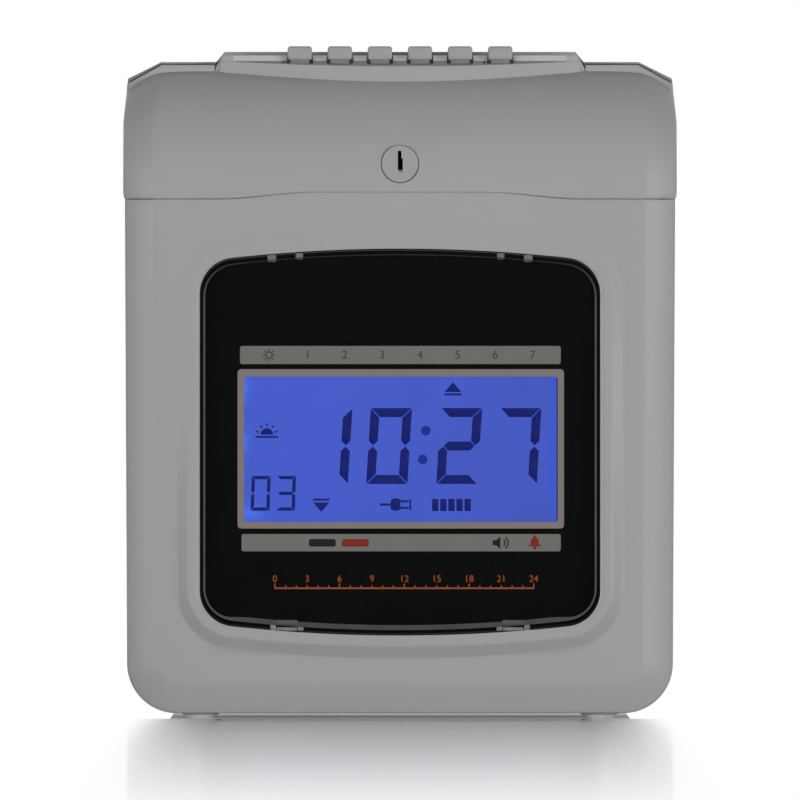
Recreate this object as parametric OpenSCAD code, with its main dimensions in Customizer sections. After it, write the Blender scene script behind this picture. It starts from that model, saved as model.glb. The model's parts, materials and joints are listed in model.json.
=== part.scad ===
// Card-punch time clock. A hood with six column keys and a lock opens over a
// front housing with a lit display; the rear housing holds the card mechanism.
// The origin is on the ground below the middle, +Z is up, the front faces -Y.

/* [Housing] */
// Overall width
case_w = 200; // [194:1:212]
// Overall depth, from the swell below the window to the back wall
case_d = 146; // [142:1:170]
// Overall height, from the feet to the tops of the keys
case_h = 243; // [243:1:262]
// Thickness of the moulded walls
wall = 2.5; // [2:0.1:3]
// Height of the feet below the case
foot_h = 1.9; // [1.5:0.1:4]
// Depth from the flat front face back to the joint with the rear housing
front_depth = 33.5; // [33.5:0.5:36]
// Radius of the lower corners, seen from the front
corner_r = 18; // [10:1:20]
// Height of the slanted toe below the front face
toe_h = 10; // [6:1:12]
// Depth of the slanted toe
toe_d = 5; // [3:0.5:6]
// Radius of the rear edges
rear_r = 7; // [5:1:12]
// Width of the slanted facet on each front corner
facet_w = 11; // [8:1:12]
// Depth of the slanted facet on each front corner
facet_d = 7; // [5:1:8]
// Gap along the joints between the shells
seam_gap = 0.5; // [0.4:0.1:0.8]

/* [Hood] */
// Height of the hood and collar above the joint with the front housing
hood_h = 55.6; // [55:0.1:56]
// Radius of the curved brow
brow_r = 44; // [43:0.5:44.5]
// Length of the slot collar
collar_l = 133.2; // [128:0.1:136]
// How far the collar stands out in front of the slot
collar_d = 9.4; // [9:0.1:10]
// How far the hood opens, in degrees
hood_open = 55; // [40:1:55]
// Radius of the hinge pins
pin_r = 1; // [0.8:0.1:1.1]

/* [Keys] */
// Distance from one column key to the next
key_pitch = 14.5; // [13.5:0.1:15]
// Width of a column key's cap
key_w = 8.85; // [8:0.05:10]
// Travel of a column key
key_travel = 1.5; // [1:0.1:1.8]
// Distance from one set key to the next
set_pitch = 12; // [11:0.5:13]
// Width of a set key's cap
set_w = 7; // [6:0.5:8]
// Travel of a set key
set_travel = 1.2; // [0.8:0.1:1.4]

/* [Lock] */
// Radius of the lock barrel
barrel_r = 6.75; // [6:0.05:7]
// Height of the lock above the joint with the front housing
lock_rise = 12.8; // [12:0.1:14]
// Length of the lock cam from the barrel's axis
cam_l = 17; // [15:0.5:17.5]

/* [Display] */
// Width of the window
window_w = 146; // [140:1:148]
// Distance from the window's upper edge to the joint with the hood
window_gap = 17.8; // [17.4:0.1:24]
// How far the window's upper and lower edges bow out in the middle
window_bow = 4.7; // [3.5:0.1:5.5]
// Radius of the window's corners
window_r = 13; // [8:1:14]
// Width of the visible display
lcd_w = 113.2; // [106:0.2:116]
// Height of the visible display
lcd_h = 52.5; // [46:0.5:54]
// How far the lower edge of the swell stands out from the front face
swell_d = 3; // [2:0.1:3.5]

/* [Card path] */
// Width of the time card
card_w = 86; // [84:0.5:88]
// Gap between the plates of the card chute
chute_gap = 5; // [4.8:0.1:5.2]
// Thickness of the chute and mechanism plates
plate_t = 1.5; // [1.2:0.1:1.6]
// Radius of the feed rollers
feed_r = 7; // [6.5:0.1:7.5]
// Radius of the pinch rollers
pinch_r = 5; // [4.5:0.1:5.2]
// Radius of the feed shaft
shaft_r = 3; // [2.5:0.1:3.5]
// Travel of the print head to each side of the middle
head_travel = 36; // [32:0.5:36]
// Radius of the two guide rods
rod_r = 2.5; // [2:0.1:3]
// Radius of the carriage belt's pulleys inside the belt
drive_r = 5; // [4.5:0.1:5.2]
// Radius of the feed belt's large pulley inside the belt
feed_pulley_r = 9; // [8:0.5:10]
// Radius of the feed belt's motor pulley inside the belt
motor_pulley_r = 5; // [4:0.5:6]

/* [Fixings] */
// Distance between the two keyholes in the back
keyhole_pitch = 100; // [80:1:110]
// Radius of a keyhole's round entry
keyhole_r = 4.5; // [4:0.1:5]
// Half width of a keyhole's slot
keyhole_slot_r = 2.25; // [2:0.05:2.5]
// Radius of a foot at its flat underside
foot_r = 5; // [4:0.5:6]
// Distance of the feet from the middle, to each side
foot_x = 72; // [60:1:76]

/* [Hidden] */
$fn = 48;

// Column keys on the collar, and set keys under the hood
key_count = 6;
set_count = 4;

// Small clearances
run_fit = 0.05;
near = 0.3;
loose = 0.5;
// Overlap of a cut past a face
past = 1;

// Main planes of the case
half_w = case_w / 2;
half_seam = half_w - 0.6;
half_low = half_w - 1.4;
y_face = -case_d / 2 + swell_d;
y_back = case_d / 2;
y_part = y_face + front_depth;
y_hood_back = y_part - seam_gap;
z_floor = foot_h;
z_seam = case_h - hood_h;
seam_rise = 2.8;
seam_flat_x = 32.6;
seam_low_x = 63.6;
z_top = case_h - 5.6;
z_brow = z_top - 6;
z_widest = z_top - 22.4;
brow_inset = 1.5;
shoulder_w = 12.1;
facet_angle = atan(facet_d / facet_w);
toe_angle = atan(toe_d / toe_h);

// The hood's rim, its collar and its hinge
rim_d = 2.5;
rim_drop = 1.5;
z_rim = z_top - rim_drop;
z_brow_centre = z_seam + 4.6;
collar_bow_r = 278;
collar_slope = 1.8;
z_collar = case_h - 3.3;
z_collar_front = z_rim;
z_rear_collar = case_h - 1.9;
y_lip = y_hood_back - collar_d;
slot_d = 7.7;
y_slot_back = y_hood_back + slot_d;
knuckle_r = 2;
y_pivot = y_hood_back + 1;
z_pivot = z_rim - knuckle_r;
lug_x = 77;
lug_l = 6;
ear_t = 2;
y_groove = y_part + 2.5;
groove_flange = 1;

// The card path
y_card = y_part + 3.2;
y_chute_front = y_card - chute_gap / 2;
y_chute_rear = y_card + chute_gap / 2;
guide_x = card_w / 2 + 0.5;
chute_x = guide_x + plate_t + 1.5;
z_chute = 30;
z_chute_top = z_seam + 38.6;
funnel_rise = 4.5;
z_print = z_seam - 15.4;
z_feed = z_print - 22;
plate_x = chute_x + 4.75;
y_plate_front = y_chute_front - plate_t - 2.7;
y_plate_rear = y_chute_rear + 29.8;
y_plate_foot = y_plate_rear + 21;
z_plate_step = z_feed - 22;
z_plate_top = z_seam + 17.6;
y_feed = y_card + feed_r + 0.2;
y_pinch = y_card - pinch_r - 0.2;
roller_x = 25;
roller_l = 10;
slot_margin = 1.5;

// The print head and its drive
y_rod_front = y_chute_rear + 13.8;
y_rod_rear = y_rod_front + 10;
z_rod = z_print - 5.5;
y_ribbon = y_chute_rear + plate_t + near;
ribbon_t = 0.3;
print_h = 10;
pulley_x = plate_x - 5.25;
y_drive = y_plate_rear + 11;
z_drive = z_print - 7;
belt_t = 1;
belt_w = 5.2;
bridge_t = 1.5;
z_bridge = z_drive - 7;
carriage_w = 24;
y_feed_motor = y_feed + 16;
z_feed_motor = z_feed - 45;
feed_motor_r = 13;
feed_motor_l = 24;
belt_x = plate_x + 4.5;
knob_x = 28;
knob_r = 8;
z_cassette = z_print + 10;
cassette_h = 12;

// The window and what lies behind it
z_window = 30;
window_h = z_seam - window_gap - z_window;
window_half = window_w / 2;
window_bow_r = (window_half * window_half + window_bow * window_bow) / (2 * window_bow);
window_turn_x = window_half - window_r;
window_turn = asin(window_turn_x / (window_bow_r - window_r));
window_turn_z = (window_bow_r - window_r) * cos(window_turn);
z_window_mid = z_window + window_h / 2;
z_lcd = z_window_mid - 2.55;
y_wall_in = y_face + wall;
mask_t = 1.2;
lcd_t = 2.8;
light_t = 4;
board_t = 1.6;
display_edge_x = 11.4;
display_edge_z = 11.75;
y_lcd = y_wall_in + mask_t;
y_light = y_lcd + lcd_t;
y_board = y_light + light_t + 1.5;
swell_w = 6;
lens_gap = 0.4;

// The deck under the hood with its set keys
z_deck = z_seam - 7.4;
deck_t = 2.5;
deck_x0 = -half_w + 16;
deck_x1 = deck_x0 + 56;
y_deck_rear = y_wall_in + 22;
set_y = y_wall_in + 11;
set_x0 = (deck_x0 + deck_x1) / 2 - (set_count - 1) / 2 * set_pitch;

// The lock
z_lock = z_seam + lock_rise;
y_lock = y_face + 0.8;
y_sleeve_seat = y_wall_in + 5;
y_cam = y_face + 13;
cam_t = 2;
cam_w = 8;
sleeve_t = 1.2;

// The column keys
key_d = 6;
y_key = y_hood_back - 4.3;
key_cap_h = 4.5;
z_key_cap = case_h - key_cap_h;
z_key_foot = z_seam + 40.6;
stem_w = key_w - 1.95;
stem_d = 4.2;
z_key_board = z_key_foot - 7;

// The back
z_keyhole = z_seam + 2.6;
keyhole_l = 9;
screw_x = half_w - 13;
z_screw_low = z_floor + 16;
z_screw_high = z_seam - 12;
pillar_r = 4;
pillar_back = 5;
screw_r = 1.5;
screw_head_r = 3.4;
cup_r = 4.2;
inlet_x = -60;
z_inlet = 34;
inlet_w = 18;
inlet_h = 10;
inlet_depth = 12;
inlet_pin_r = 1.2;
inlet_pitch = 8.6;
board_x = 74;
z_board = z_chute + 30;
board_back = 19.4;
foot_y_front = y_face + 15;
foot_y_rear = y_back - 13;
foot_top_r = foot_r + 2.15;
foot_stem_r = 3;

// A block between two corners
module block(x0, x1, y0, y1, z0, z1) {
    translate([x0, y0, z0])
        cube([x1 - x0, y1 - y0, z1 - z0]);
}

// A round bar along X, Y or Z between two ends
module bar_x(r, x0, x1, y, z) {
    translate([x0, y, z])
        rotate([0, 90, 0])
            cylinder(r = r, h = x1 - x0);
}

module bar_y(r, y0, y1, x, z) {
    translate([x, y1, z])
        rotate([90, 0, 0])
            cylinder(r = r, h = y1 - y0);
}

module bar_z(r, z0, z1, x, y) {
    translate([x, y, z0])
        cylinder(r = r, h = z1 - z0);
}

// The same shape on the left and on the right
module both_sides() {
    children();
    mirror([1, 0, 0])
        children();
}

// An outline seen from the front, carried from y0 back to y1
module from_front(y0, y1) {
    translate([0, y1, 0])
        rotate([90, 0, 0])
            linear_extrude(y1 - y0)
                children();
}

// An outline of Y and Z, carried along X
module from_side(x0, x1) {
    translate([x0, 0, 0])
        rotate([90, 0, 90])
            linear_extrude(x1 - x0)
                children();
}

// A rectangle with round corners
module rounded(x0, x1, z0, z1, r) {
    union() {
        translate([x0 + r, z0])
            square([x1 - x0 - 2 * r, z1 - z0]);
        translate([x0, z0 + r])
            square([x1 - x0, z1 - z0 - 2 * r]);
        for (x = [x0 + r, x1 - r], z = [z0 + r, z1 - r])
            translate([x, z])
                circle(r);
    }
}

// The loop of a belt round two pulleys a distance apart
module belt_outline(r1, r2, distance) {
    hull() {
        circle(r1);
        translate([distance, 0])
            circle(r2);
    }
}

// The case seen from the front, drawn in by an inset, its top lowered by a drop
module silhouette(inset, drop) {
    r = corner_r - inset;
    side = [
        [half_low - inset, z_floor + corner_r],
        [half_seam - inset, z_seam],
        [half_w - inset, z_seam + 4],
        [half_w - inset, z_widest],
        [half_w - brow_inset - inset, z_brow - drop],
        [half_w - brow_inset - shoulder_w - inset / 2, z_top - drop]];
    union() {
        polygon(concat(side, [for (i = [len(side) - 1:-1:0]) [-side[i][0], side[i][1]]]));
        translate([-half_low + corner_r, z_floor + inset])
            square([2 * (half_low - corner_r), corner_r + past]);
        for (x = [-half_low + corner_r, half_low - corner_r])
            translate([x, z_floor + corner_r])
                circle(r);
    }
}

// The case seen from above, drawn in by an inset
module plan(inset) {
    x_in = half_w - facet_w - inset * tan(facet_angle / 2);
    x_out = half_w - inset;
    y_out = y_face + facet_d + inset * tan(45 - facet_angle / 2);
    y_turn = y_back - rear_r;
    union() {
        polygon([
            [x_in, y_face + inset],
            [x_out, y_out],
            [x_out, y_turn],
            [-x_out, y_turn],
            [-x_out, y_out],
            [-x_in, y_face + inset]]);
        translate([-half_w + rear_r, y_turn - past])
            square([case_w - 2 * rear_r, rear_r + past - inset]);
        for (x = [-half_w + rear_r, half_w - rear_r])
            translate([x, y_turn])
                circle(rear_r - inset);
    }
}

// The case seen from the side, with a slanted toe and round rear edges
module side_view(inset) {
    y_toe = y_face + toe_d + inset * tan(45 - toe_angle / 2);
    y_heel = y_back - rear_r;
    z_toe = z_floor + toe_h + inset * tan(toe_angle / 2);
    union() {
        polygon([
            [y_face + inset, z_top - inset],
            [y_face + inset, z_toe],
            [y_toe, z_floor + inset],
            [y_heel, z_floor + inset],
            [y_heel, z_top - inset]]);
        translate([y_heel - past, z_floor + rear_r])
            square([rear_r + past - inset, z_top - z_floor - 2 * rear_r]);
        for (z = [z_floor + rear_r, z_top - rear_r])
            translate([y_heel, z])
                circle(rear_r - inset);
    }
}

// The whole closed case, drawn in by an inset
module case_form(inset) {
    intersection() {
        linear_extrude(z_top + past)
            plan(inset);
        from_front(y_face - past, y_back + past)
            silhouette(inset, inset);
        from_side(-half_w, half_w)
            side_view(inset);
    }
}

// Everything below the joint between the hood and the front housing
module below_seam(lift, y0, y1) {
    from_front(y0, y1)
        polygon([
            [-case_w, -past],
            [case_w, -past],
            [case_w, z_seam + lift],
            [seam_low_x, z_seam + lift],
            [seam_flat_x, z_seam + seam_rise + lift],
            [-seam_flat_x, z_seam + seam_rise + lift],
            [-seam_low_x, z_seam + lift],
            [-case_w, z_seam + lift]]);
}

// Front half of the case up to the joint, drawn in by an inset
module front_form(inset, lift) {
    intersection() {
        case_form(inset);
        below_seam(lift, y_face - past, y_part);
    }
}

// The swell round the lower part of the window
module window_swell() {
    swell_top = z_window + window_h * 0.75;
    intersection() {
        from_front(y_face - swell_d - past, y_wall_in)
            window_outline(-swell_w);
        from_side(-half_w, half_w)
            polygon([
                [y_wall_in, z_window - swell_w - past],
                [y_face, z_window - swell_w - past],
                [y_face - swell_d + 0.6, z_window - swell_w],
                [y_face - swell_d, z_window - swell_w / 2],
                [y_face - swell_d, z_window + swell_w],
                [y_face, swell_top],
                [y_wall_in, swell_top]]);
    }
}

// One pillar that takes a case screw from behind
module pillar(x, z) {
    side = sign(x);
    bar_y(pillar_r, y_face + 12, y_back - wall - pillar_back, x, z);
    block(min(x, x + side * 10), max(x, x + side * 10), y_face + 14, y_part, z - 1, z + 1);
}

// The tab that the lock cam turns behind
module lock_keeper() {
    tab_w = 5;
    z_base = z_lock - cam_l - 4;
    block(-tab_w, tab_w, y_wall_in - past, y_cam - near, z_base - 2, z_base);
    block(-tab_w, tab_w, y_cam - near - 1.5, y_cam - near, z_base - past, z_seam + seam_rise);
}

// The thin lip that stands behind the joint, from just below it up to a rise
module dust_lip(inset, rise) {
    lip_t = 1.2;
    intersection() {
        case_form(inset);
        below_seam(rise, y_face - past, y_part - loose);
        difference() {
            block(-half_w, half_w, y_face, y_part, z_seam - 4, case_h);
            linear_extrude(case_h)
                plan(wall + near + lip_t);
        }
    }
}

module front_housing() {
    color("#8c8c8a")
    difference() {
        union() {
            difference() {
                front_form(0, 0);
                front_form(wall, past * 5);
                block(-half_w + wall, half_w - wall, y_part - past, y_part + past,
                    z_floor + wall + 4, case_h);
            }
            difference() {
                dust_lip(wall + near, 2);
                bar_y(barrel_r + sleeve_t + 3 + loose, y_face, y_part, 0, z_lock);
            }
            dust_lip(wall / 2, -past);
            difference() {
                window_swell();
                from_front(y_face - case_d, y_face + past)
                    window_outline(0);
            }
            for (x = [-screw_x, screw_x], z = [z_screw_low, z_screw_high])
                intersection() {
                    pillar(x, z);
                    case_form(wall / 2);
                }
            block(deck_x0, deck_x1, y_wall_in - past, y_deck_rear, z_deck - deck_t, z_deck);
            for (x = [deck_x0, deck_x1 - 2])
                block(x, x + 2, y_wall_in + 2, y_deck_rear, set_board_top(), z_deck - deck_t + past);
            lock_keeper();
        }
        from_front(y_face - case_d, y_wall_in + past)
            window_outline(0);
        for (x = [-screw_x, screw_x], z = [z_screw_low, z_screw_high])
            bar_y(screw_r, y_back - wall - pillar_back - 14, y_back, x, z);
        for (i = [0:set_count - 1])
            block(set_x(i) - set_w / 2 - near, set_x(i) + set_w / 2 + near,
                set_y - set_w / 2 - near, set_y + set_w / 2 + near,
                z_deck - deck_t - past, z_deck + past);
        for (x = [-foot_x, foot_x])
            bar_z(foot_stem_r, 0, z_floor + wall + past, x, foot_y_front);
    }
}

// How far the window's bowed edges have dropped at x
function window_drop(x) = window_bow_r - sqrt(window_bow_r * window_bow_r - x * x);

// The outline of the window, drawn in by an inset: its upper and lower edges bow out, and
// each round corner runs into them without a bend
module window_outline(inset) {
    z_low = z_window + window_bow_r;
    z_high = z_window + window_h - window_bow_r;
    join_x = window_turn_x + (window_r - inset) * sin(window_turn);
    union() {
        intersection() {
            translate([-join_x, z_window - swell_w])
                square([2 * join_x, window_h + 2 * swell_w]);
            translate([0, z_low])
                circle(window_bow_r - inset, $fn = 720);
            translate([0, z_high])
                circle(window_bow_r - inset, $fn = 720);
        }
        translate([-window_half + inset, z_low - window_turn_z])
            square([window_w - 2 * inset, z_high - z_low + 2 * window_turn_z]);
        for (x = [-window_turn_x, window_turn_x])
            for (z = [z_low - window_turn_z, z_high + window_turn_z])
                translate([x, z])
                    circle(window_r - inset);
    }
}

module display_lens() {
    ring = 2.6;
    clip_w = 4;
    clip_x = 42;
    z_high = z_window + window_h;
    color("#a8b0b8", 0.35)
    union() {
        from_front(y_face + 1, y_wall_in)
            window_outline(lens_gap);
        from_front(y_face - 1, y_face + 1)
            window_outline(ring);
        both_sides()
            for (x = [36.9, 46.3])
                block(x - clip_w / 2, x + clip_w / 2, y_face - 0.4, y_face + 1 + near,
                    z_high - window_drop(x) - ring - near, z_high - window_drop(x + clip_w / 2) - 0.8);
        both_sides()
            block(clip_x - 6.5, clip_x + 6.5, y_face - 0.4, y_face + 1 + near,
                z_window + window_drop(clip_x + 6.5) + 0.8,
                z_window + window_drop(clip_x) + ring + near);
    }
}

module display_mask() {
    border = 3;
    color("#101012")
    difference() {
        from_front(y_wall_in, y_lcd)
            rounded(-window_half - border, window_half + border, z_window - border,
                z_window + window_h + border, window_r);
        block(-lcd_w / 2, lcd_w / 2, y_wall_in - past, y_lcd + past,
            z_lcd - lcd_h / 2, z_lcd + lcd_h / 2);
    }
}

module lcd_panel() {
    edge = 2;
    color("#4a5fd0")
        block(-lcd_w / 2 - edge, lcd_w / 2 + edge, y_lcd, y_light,
            z_lcd - lcd_h / 2 - edge, z_lcd + lcd_h / 2 + edge);
}

module backlight() {
    edge = 3.5;
    post = 3;
    color("#e8e8f0")
    union() {
        block(-lcd_w / 2 - edge, lcd_w / 2 + edge, y_light, y_light + light_t,
            z_lcd - lcd_h / 2 - edge, z_lcd + lcd_h / 2 + edge);
        for (x = [-lcd_w / 2, lcd_w / 2 - post], z = [z_lcd - lcd_h / 2, z_lcd + lcd_h / 2 - post])
            block(x, x + post, y_light + light_t / 2, y_board, z, z + post);
    }
}

module display_board() {
    color("#2f6b3a")
    union() {
        block(-lcd_w / 2 - display_edge_x, lcd_w / 2 + display_edge_x, y_board,
            y_board + board_t, z_lcd - lcd_h / 2 - display_edge_z,
            z_lcd + lcd_h / 2 + display_edge_z);
        for (x = [-30, 10], z = [z_lcd - 20])
            block(x, x + 18, y_board + board_t / 2, y_board + board_t + 2.5, z, z + 12);
        for (x = [-20:10:20])
            bar_y(1.5, y_board + board_t / 2, y_board + board_t + 4, x, z_lcd + 20);
    }
}

module buzzer() {
    y0 = y_board + board_t;
    color("#151515")
    difference() {
        bar_y(6, y0, y0 + 7, 48, z_lcd - 16);
        bar_y(1, y0 + 5, y0 + 8, 48, z_lcd - 16);
    }
}

// Knuckle of the hinge with its arm, from x0 along X
module hinge_ear(x0) {
    bar_x(knuckle_r, x0, x0 + ear_t, y_pivot, z_pivot);
    from_side(x0, x0 + ear_t)
        polygon([
            [y_pivot, z_pivot - knuckle_r],
            [y_pivot, z_pivot + knuckle_r],
            [y_groove, z_top - groove_flange],
            [y_groove + 8, z_top - groove_flange],
            [y_groove + 8, z_pivot - knuckle_r - 3]]);
}

// The rear half of the collar behind the card slot, drawn in by an inset
module rear_collar(inset) {
    bow = collar_bow_r;
    z0 = z_chute_top + funnel_rise + near;
    intersection() {
        translate([0, y_slot_back + collar_d - inset - bow, z_seam])
            cylinder(r = bow, h = case_h);
        from_front(y_slot_back + (inset > 0 ? wall : 0), y_slot_back + 3 * collar_d)
            polygon([
                [-collar_l / 2 + inset, z0],
                [collar_l / 2 - inset, z0],
                [collar_l / 2 - inset, z_top],
                [collar_l / 2 - 3.1 - inset, z_rear_collar - inset],
                [-collar_l / 2 + 3.1 + inset, z_rear_collar - inset],
                [-collar_l / 2 + inset, z_top]]);
    }
}

// One keyhole: a round entry with a narrower slot above it
module keyhole(x) {
    bar_y(keyhole_r, y_back - 3 * wall, y_back + past, x, z_keyhole);
    block(x - keyhole_slot_r, x + keyhole_slot_r, y_back - 3 * wall, y_back + past,
        z_keyhole, z_keyhole + keyhole_l);
    bar_y(keyhole_slot_r, y_back - 3 * wall, y_back + past, x, z_keyhole + keyhole_l);
}

module rear_housing() {
    vent_w = 44;
    vent_h = 2.4;
    vent_pitch = 6;
    color("#868684")
    difference() {
        union() {
            difference() {
                intersection() {
                    case_form(0);
                    block(-half_w, half_w, y_part, y_back, 0, case_h);
                }
                difference() {
                    case_form(wall);
                    block(-half_w, half_w, y_back - wall, y_back, 0, case_h);
                }
                block(-half_w - past, half_w + past, y_part - past, y_groove,
                    z_brow - brow_inset, case_h);
                block(-half_w, half_w, y_groove - past, y_groove + 3,
                    z_brow - brow_inset, z_top - groove_flange);
                block(-collar_l / 2, collar_l / 2, y_part - past, y_slot_back, z_brow, case_h);
            }
            difference() {
                rear_collar(0);
                rear_collar(wall);
            }
            both_sides() {
                hinge_ear(lug_x - lug_l / 2 - near - ear_t);
                hinge_ear(lug_x + lug_l / 2 + near);
            }
            both_sides()
                intersection() {
                    case_form(wall / 2);
                    block(chute_x + 3.5, half_w, y_part + near, y_slot_back + wall,
                        z_brow - brow_inset - 2 * wall, z_brow - brow_inset - wall);
                }
            both_sides()
                intersection() {
                    case_form(wall / 2);
                    block(chute_x + 3.5, half_w, y_slot_back, y_slot_back + wall,
                        z_brow - brow_inset - wall - past, z_top);
                }
            for (x = [-screw_x, screw_x], z = [z_screw_low, z_screw_high])
                bar_y(cup_r + 1.5, y_back - wall - pillar_back, y_back - wall / 2, x, z);
            block(inlet_x - inlet_w / 2 - 3.5, inlet_x + inlet_w / 2 + 3.5, y_back - wall - 4,
                y_back - wall / 2, z_inlet - inlet_h / 2 - 3.5, z_inlet + inlet_h / 2 + 3.5);
            for (x = [-board_x + 8, board_x - 8], z = [z_board + 8, z_feed + 22])
                bar_y(3, y_back - board_back, y_back - wall / 2, x, z);
        }
        both_sides()
            bar_x(pin_r + 0.02, lug_x - lug_l, lug_x + lug_l, y_pivot, z_pivot);
        for (x = [-screw_x, screw_x], z = [z_screw_low, z_screw_high]) {
            bar_y(cup_r, y_back - wall - pillar_back + 2, y_back + past, x, z);
            bar_y(screw_r + 0.3, y_back - 2 * wall - pillar_back, y_back, x, z);
        }
        block(inlet_x - inlet_w / 2, inlet_x + inlet_w / 2, y_back - 3 * wall,
            y_back + past, z_inlet - inlet_h / 2, z_inlet + inlet_h / 2);
        for (x = [-keyhole_pitch / 2, keyhole_pitch / 2])
            keyhole(x);
        for (x = [-vent_w - 4, 4], i = [0:7])
            block(x, x + vent_w, y_back - 3 * wall, y_back + past,
                z_feed - 20 - i * vent_pitch, z_feed - 20 - i * vent_pitch + vent_h);
        for (x = [-foot_x, foot_x])
            bar_z(foot_stem_r, 0, z_floor + wall + past, x, foot_y_rear);
    }
}

// The hood seen from the side: an upright front and a round brow up to the rim
module hood_side(inset, rim) {
    y_centre = y_face + brow_r;
    union() {
        translate([y_face + inset, z_seam - past])
            square([y_hood_back - y_face - inset, z_brow_centre - z_seam + past]);
        intersection() {
            translate([y_centre, z_brow_centre])
                circle(brow_r - inset, $fn = 96);
            translate([y_face, z_brow_centre - past])
                square([y_hood_back - y_face, brow_r + 2 * past]);
        }
        if (rim > 0)
            translate([y_hood_back - rim_d, z_brow_centre])
                square([rim_d, z_rim - z_brow_centre]);
    }
}

// The closed form of the hood, drawn in by an inset
module hood_form(inset, rim) {
    intersection() {
        from_side(-half_w, half_w)
            hood_side(inset, rim);
        linear_extrude(case_h)
            plan(inset);
        from_front(y_face - past, y_part)
            silhouette(inset, rim_drop + inset / 2);
    }
}

// The front half of the collar with its bowed lip and slanted ends
module front_collar() {
    y_rim = y_hood_back - rim_d;
    intersection() {
        translate([0, y_lip + collar_bow_r, z_seam])
            cylinder(r = collar_bow_r, h = case_h, $fn = 180);
        from_side(-collar_l / 2, collar_l / 2)
            polygon([
                [y_lip - past, z_brow_centre + brow_r - 12],
                [y_lip - past, z_collar_front - 0.3],
                [y_rim, z_collar_front + collar_slope],
                [y_rim, z_collar],
                [y_hood_back, z_collar],
                [y_hood_back, z_brow_centre + brow_r - 12]]);
        from_front(y_lip - past, y_hood_back)
            polygon([
                [-collar_l / 2, z_seam],
                [collar_l / 2, z_seam],
                [collar_l / 2, z_rim - 4],
                [collar_l / 2 - 3.1, z_collar],
                [-collar_l / 2 + 3.1, z_collar],
                [-collar_l / 2, z_rim - 4]]);
    }
}

// The well of one column key through the collar
module key_well(x) {
    z_floor_well = z_key_cap - key_travel - loose;
    block(x - key_w / 2 - near, x + key_w / 2 + near, y_key - key_d / 2 - near,
        y_key + key_d / 2 + near, z_floor_well, case_h);
    block(x - stem_w / 2 - near, x + stem_w / 2 + near, y_key - stem_d / 2 - near,
        y_key + stem_d / 2 + near, z_key_foot, case_h);
}

module hood() {
    color("#8e8e8c")
    difference() {
        union() {
            difference() {
                union() {
                    hood_form(0, 1);
                    front_collar();
                }
                hood_form(wall, 0);
            }
            both_sides()
                intersection() {
                    union() {
                        bar_x(knuckle_r, lug_x - lug_l / 2, lug_x + lug_l / 2, y_pivot, z_pivot);
                        block(lug_x - lug_l / 2, lug_x + lug_l / 2, y_hood_back - 1,
                            y_pivot, z_pivot - knuckle_r, z_pivot + knuckle_r);
                    }
                    block(0, half_w, y_hood_back - 1, y_pivot + knuckle_r, 0, z_rim);
                }
            intersection() {
                hood_form(wall / 2, 0);
                union() {
                    bar_y(barrel_r + sleeve_t + 3, y_face, y_sleeve_seat, 0, z_lock);
                    for (x = [-50, 50])
                        block(x - 2.5, x + 2.5, y_key - 6, y_key - 1, z_key_board + board_t,
                            z_top);
                }
            }
        }
        below_seam(seam_gap, y_face - case_d, y_part);
        both_sides() {
            bar_x(knuckle_r + 0.4, lug_x - lug_l / 2 - 2 * near - ear_t, lug_x - lug_l / 2,
                y_pivot, z_pivot);
            bar_x(knuckle_r + 0.4, lug_x + lug_l / 2, lug_x + lug_l / 2 + 2 * near + ear_t,
                y_pivot, z_pivot);
            bar_x(pin_r + run_fit, lug_x - lug_l, lug_x + lug_l, y_pivot, z_pivot);
        }
        bar_y(barrel_r + sleeve_t, y_face - past, y_sleeve_seat + past, 0, z_lock);
        for (i = [0:key_count - 1])
            key_well(key_x(i));
    }
}

// Places of the keys along X
function key_x(i) = (i - (key_count - 1) / 2) * key_pitch;
function set_x(i) = set_x0 + i * set_pitch;
function set_board_top() = z_deck - deck_t - 5;

module column_key(i) {
    foot_t = 1;
    color("#9a9a98")
    translate([key_x(i), y_key, 0])
    union() {
        from_front(-key_d / 2, key_d / 2)
            rounded(-key_w / 2, key_w / 2, z_key_cap, case_h, 1.3);
        block(-stem_w / 2, stem_w / 2, -stem_d / 2, stem_d / 2, z_key_foot - near - foot_t,
            z_key_cap + past);
        block(-key_w / 2, key_w / 2, -key_d / 2, stem_d / 2, z_key_foot - near - foot_t,
            z_key_foot - near);
    }
}

module set_key(i) {
    foot_t = 1;
    cap_rise = 3;
    color("#5c6068")
    translate([set_x(i), set_y, 0])
    union() {
        block(-set_w / 2, set_w / 2, -set_w / 2, set_w / 2, z_deck - deck_t - near - foot_t,
            z_deck + cap_rise);
        block(-set_w / 2 - 1, set_w / 2 + 1, -set_w / 2 - 1, set_w / 2 + 1,
            z_deck - deck_t - near - foot_t, z_deck - deck_t - near);
    }
}

module key_board() {
    color("#2f6b3a")
    union() {
        block(-54, 54, y_key - 7.5, y_key + 2, z_key_board, z_key_board + board_t);
        for (i = [0:key_count - 1])
            translate([key_x(i), y_key - 1, z_key_board + board_t / 2]) {
                block(-3, 3, -3, 3, 0, board_t / 2 + 2.2);
                cylinder(r = 1.4, h = z_key_foot - z_key_board - board_t / 2 - key_travel - 1.6);
            }
    }
}

module set_key_board() {
    top = set_board_top();
    color("#2f6b3a")
    union() {
        block(deck_x0, deck_x1, y_wall_in + 2, y_deck_rear, top - board_t, top);
        for (i = [0:set_count - 1])
            translate([set_x(i), set_y, top - board_t / 2])
                cylinder(r = 1.6, h = board_t / 2 + 5 - 1.3 - near - set_travel);
    }
}

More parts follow.
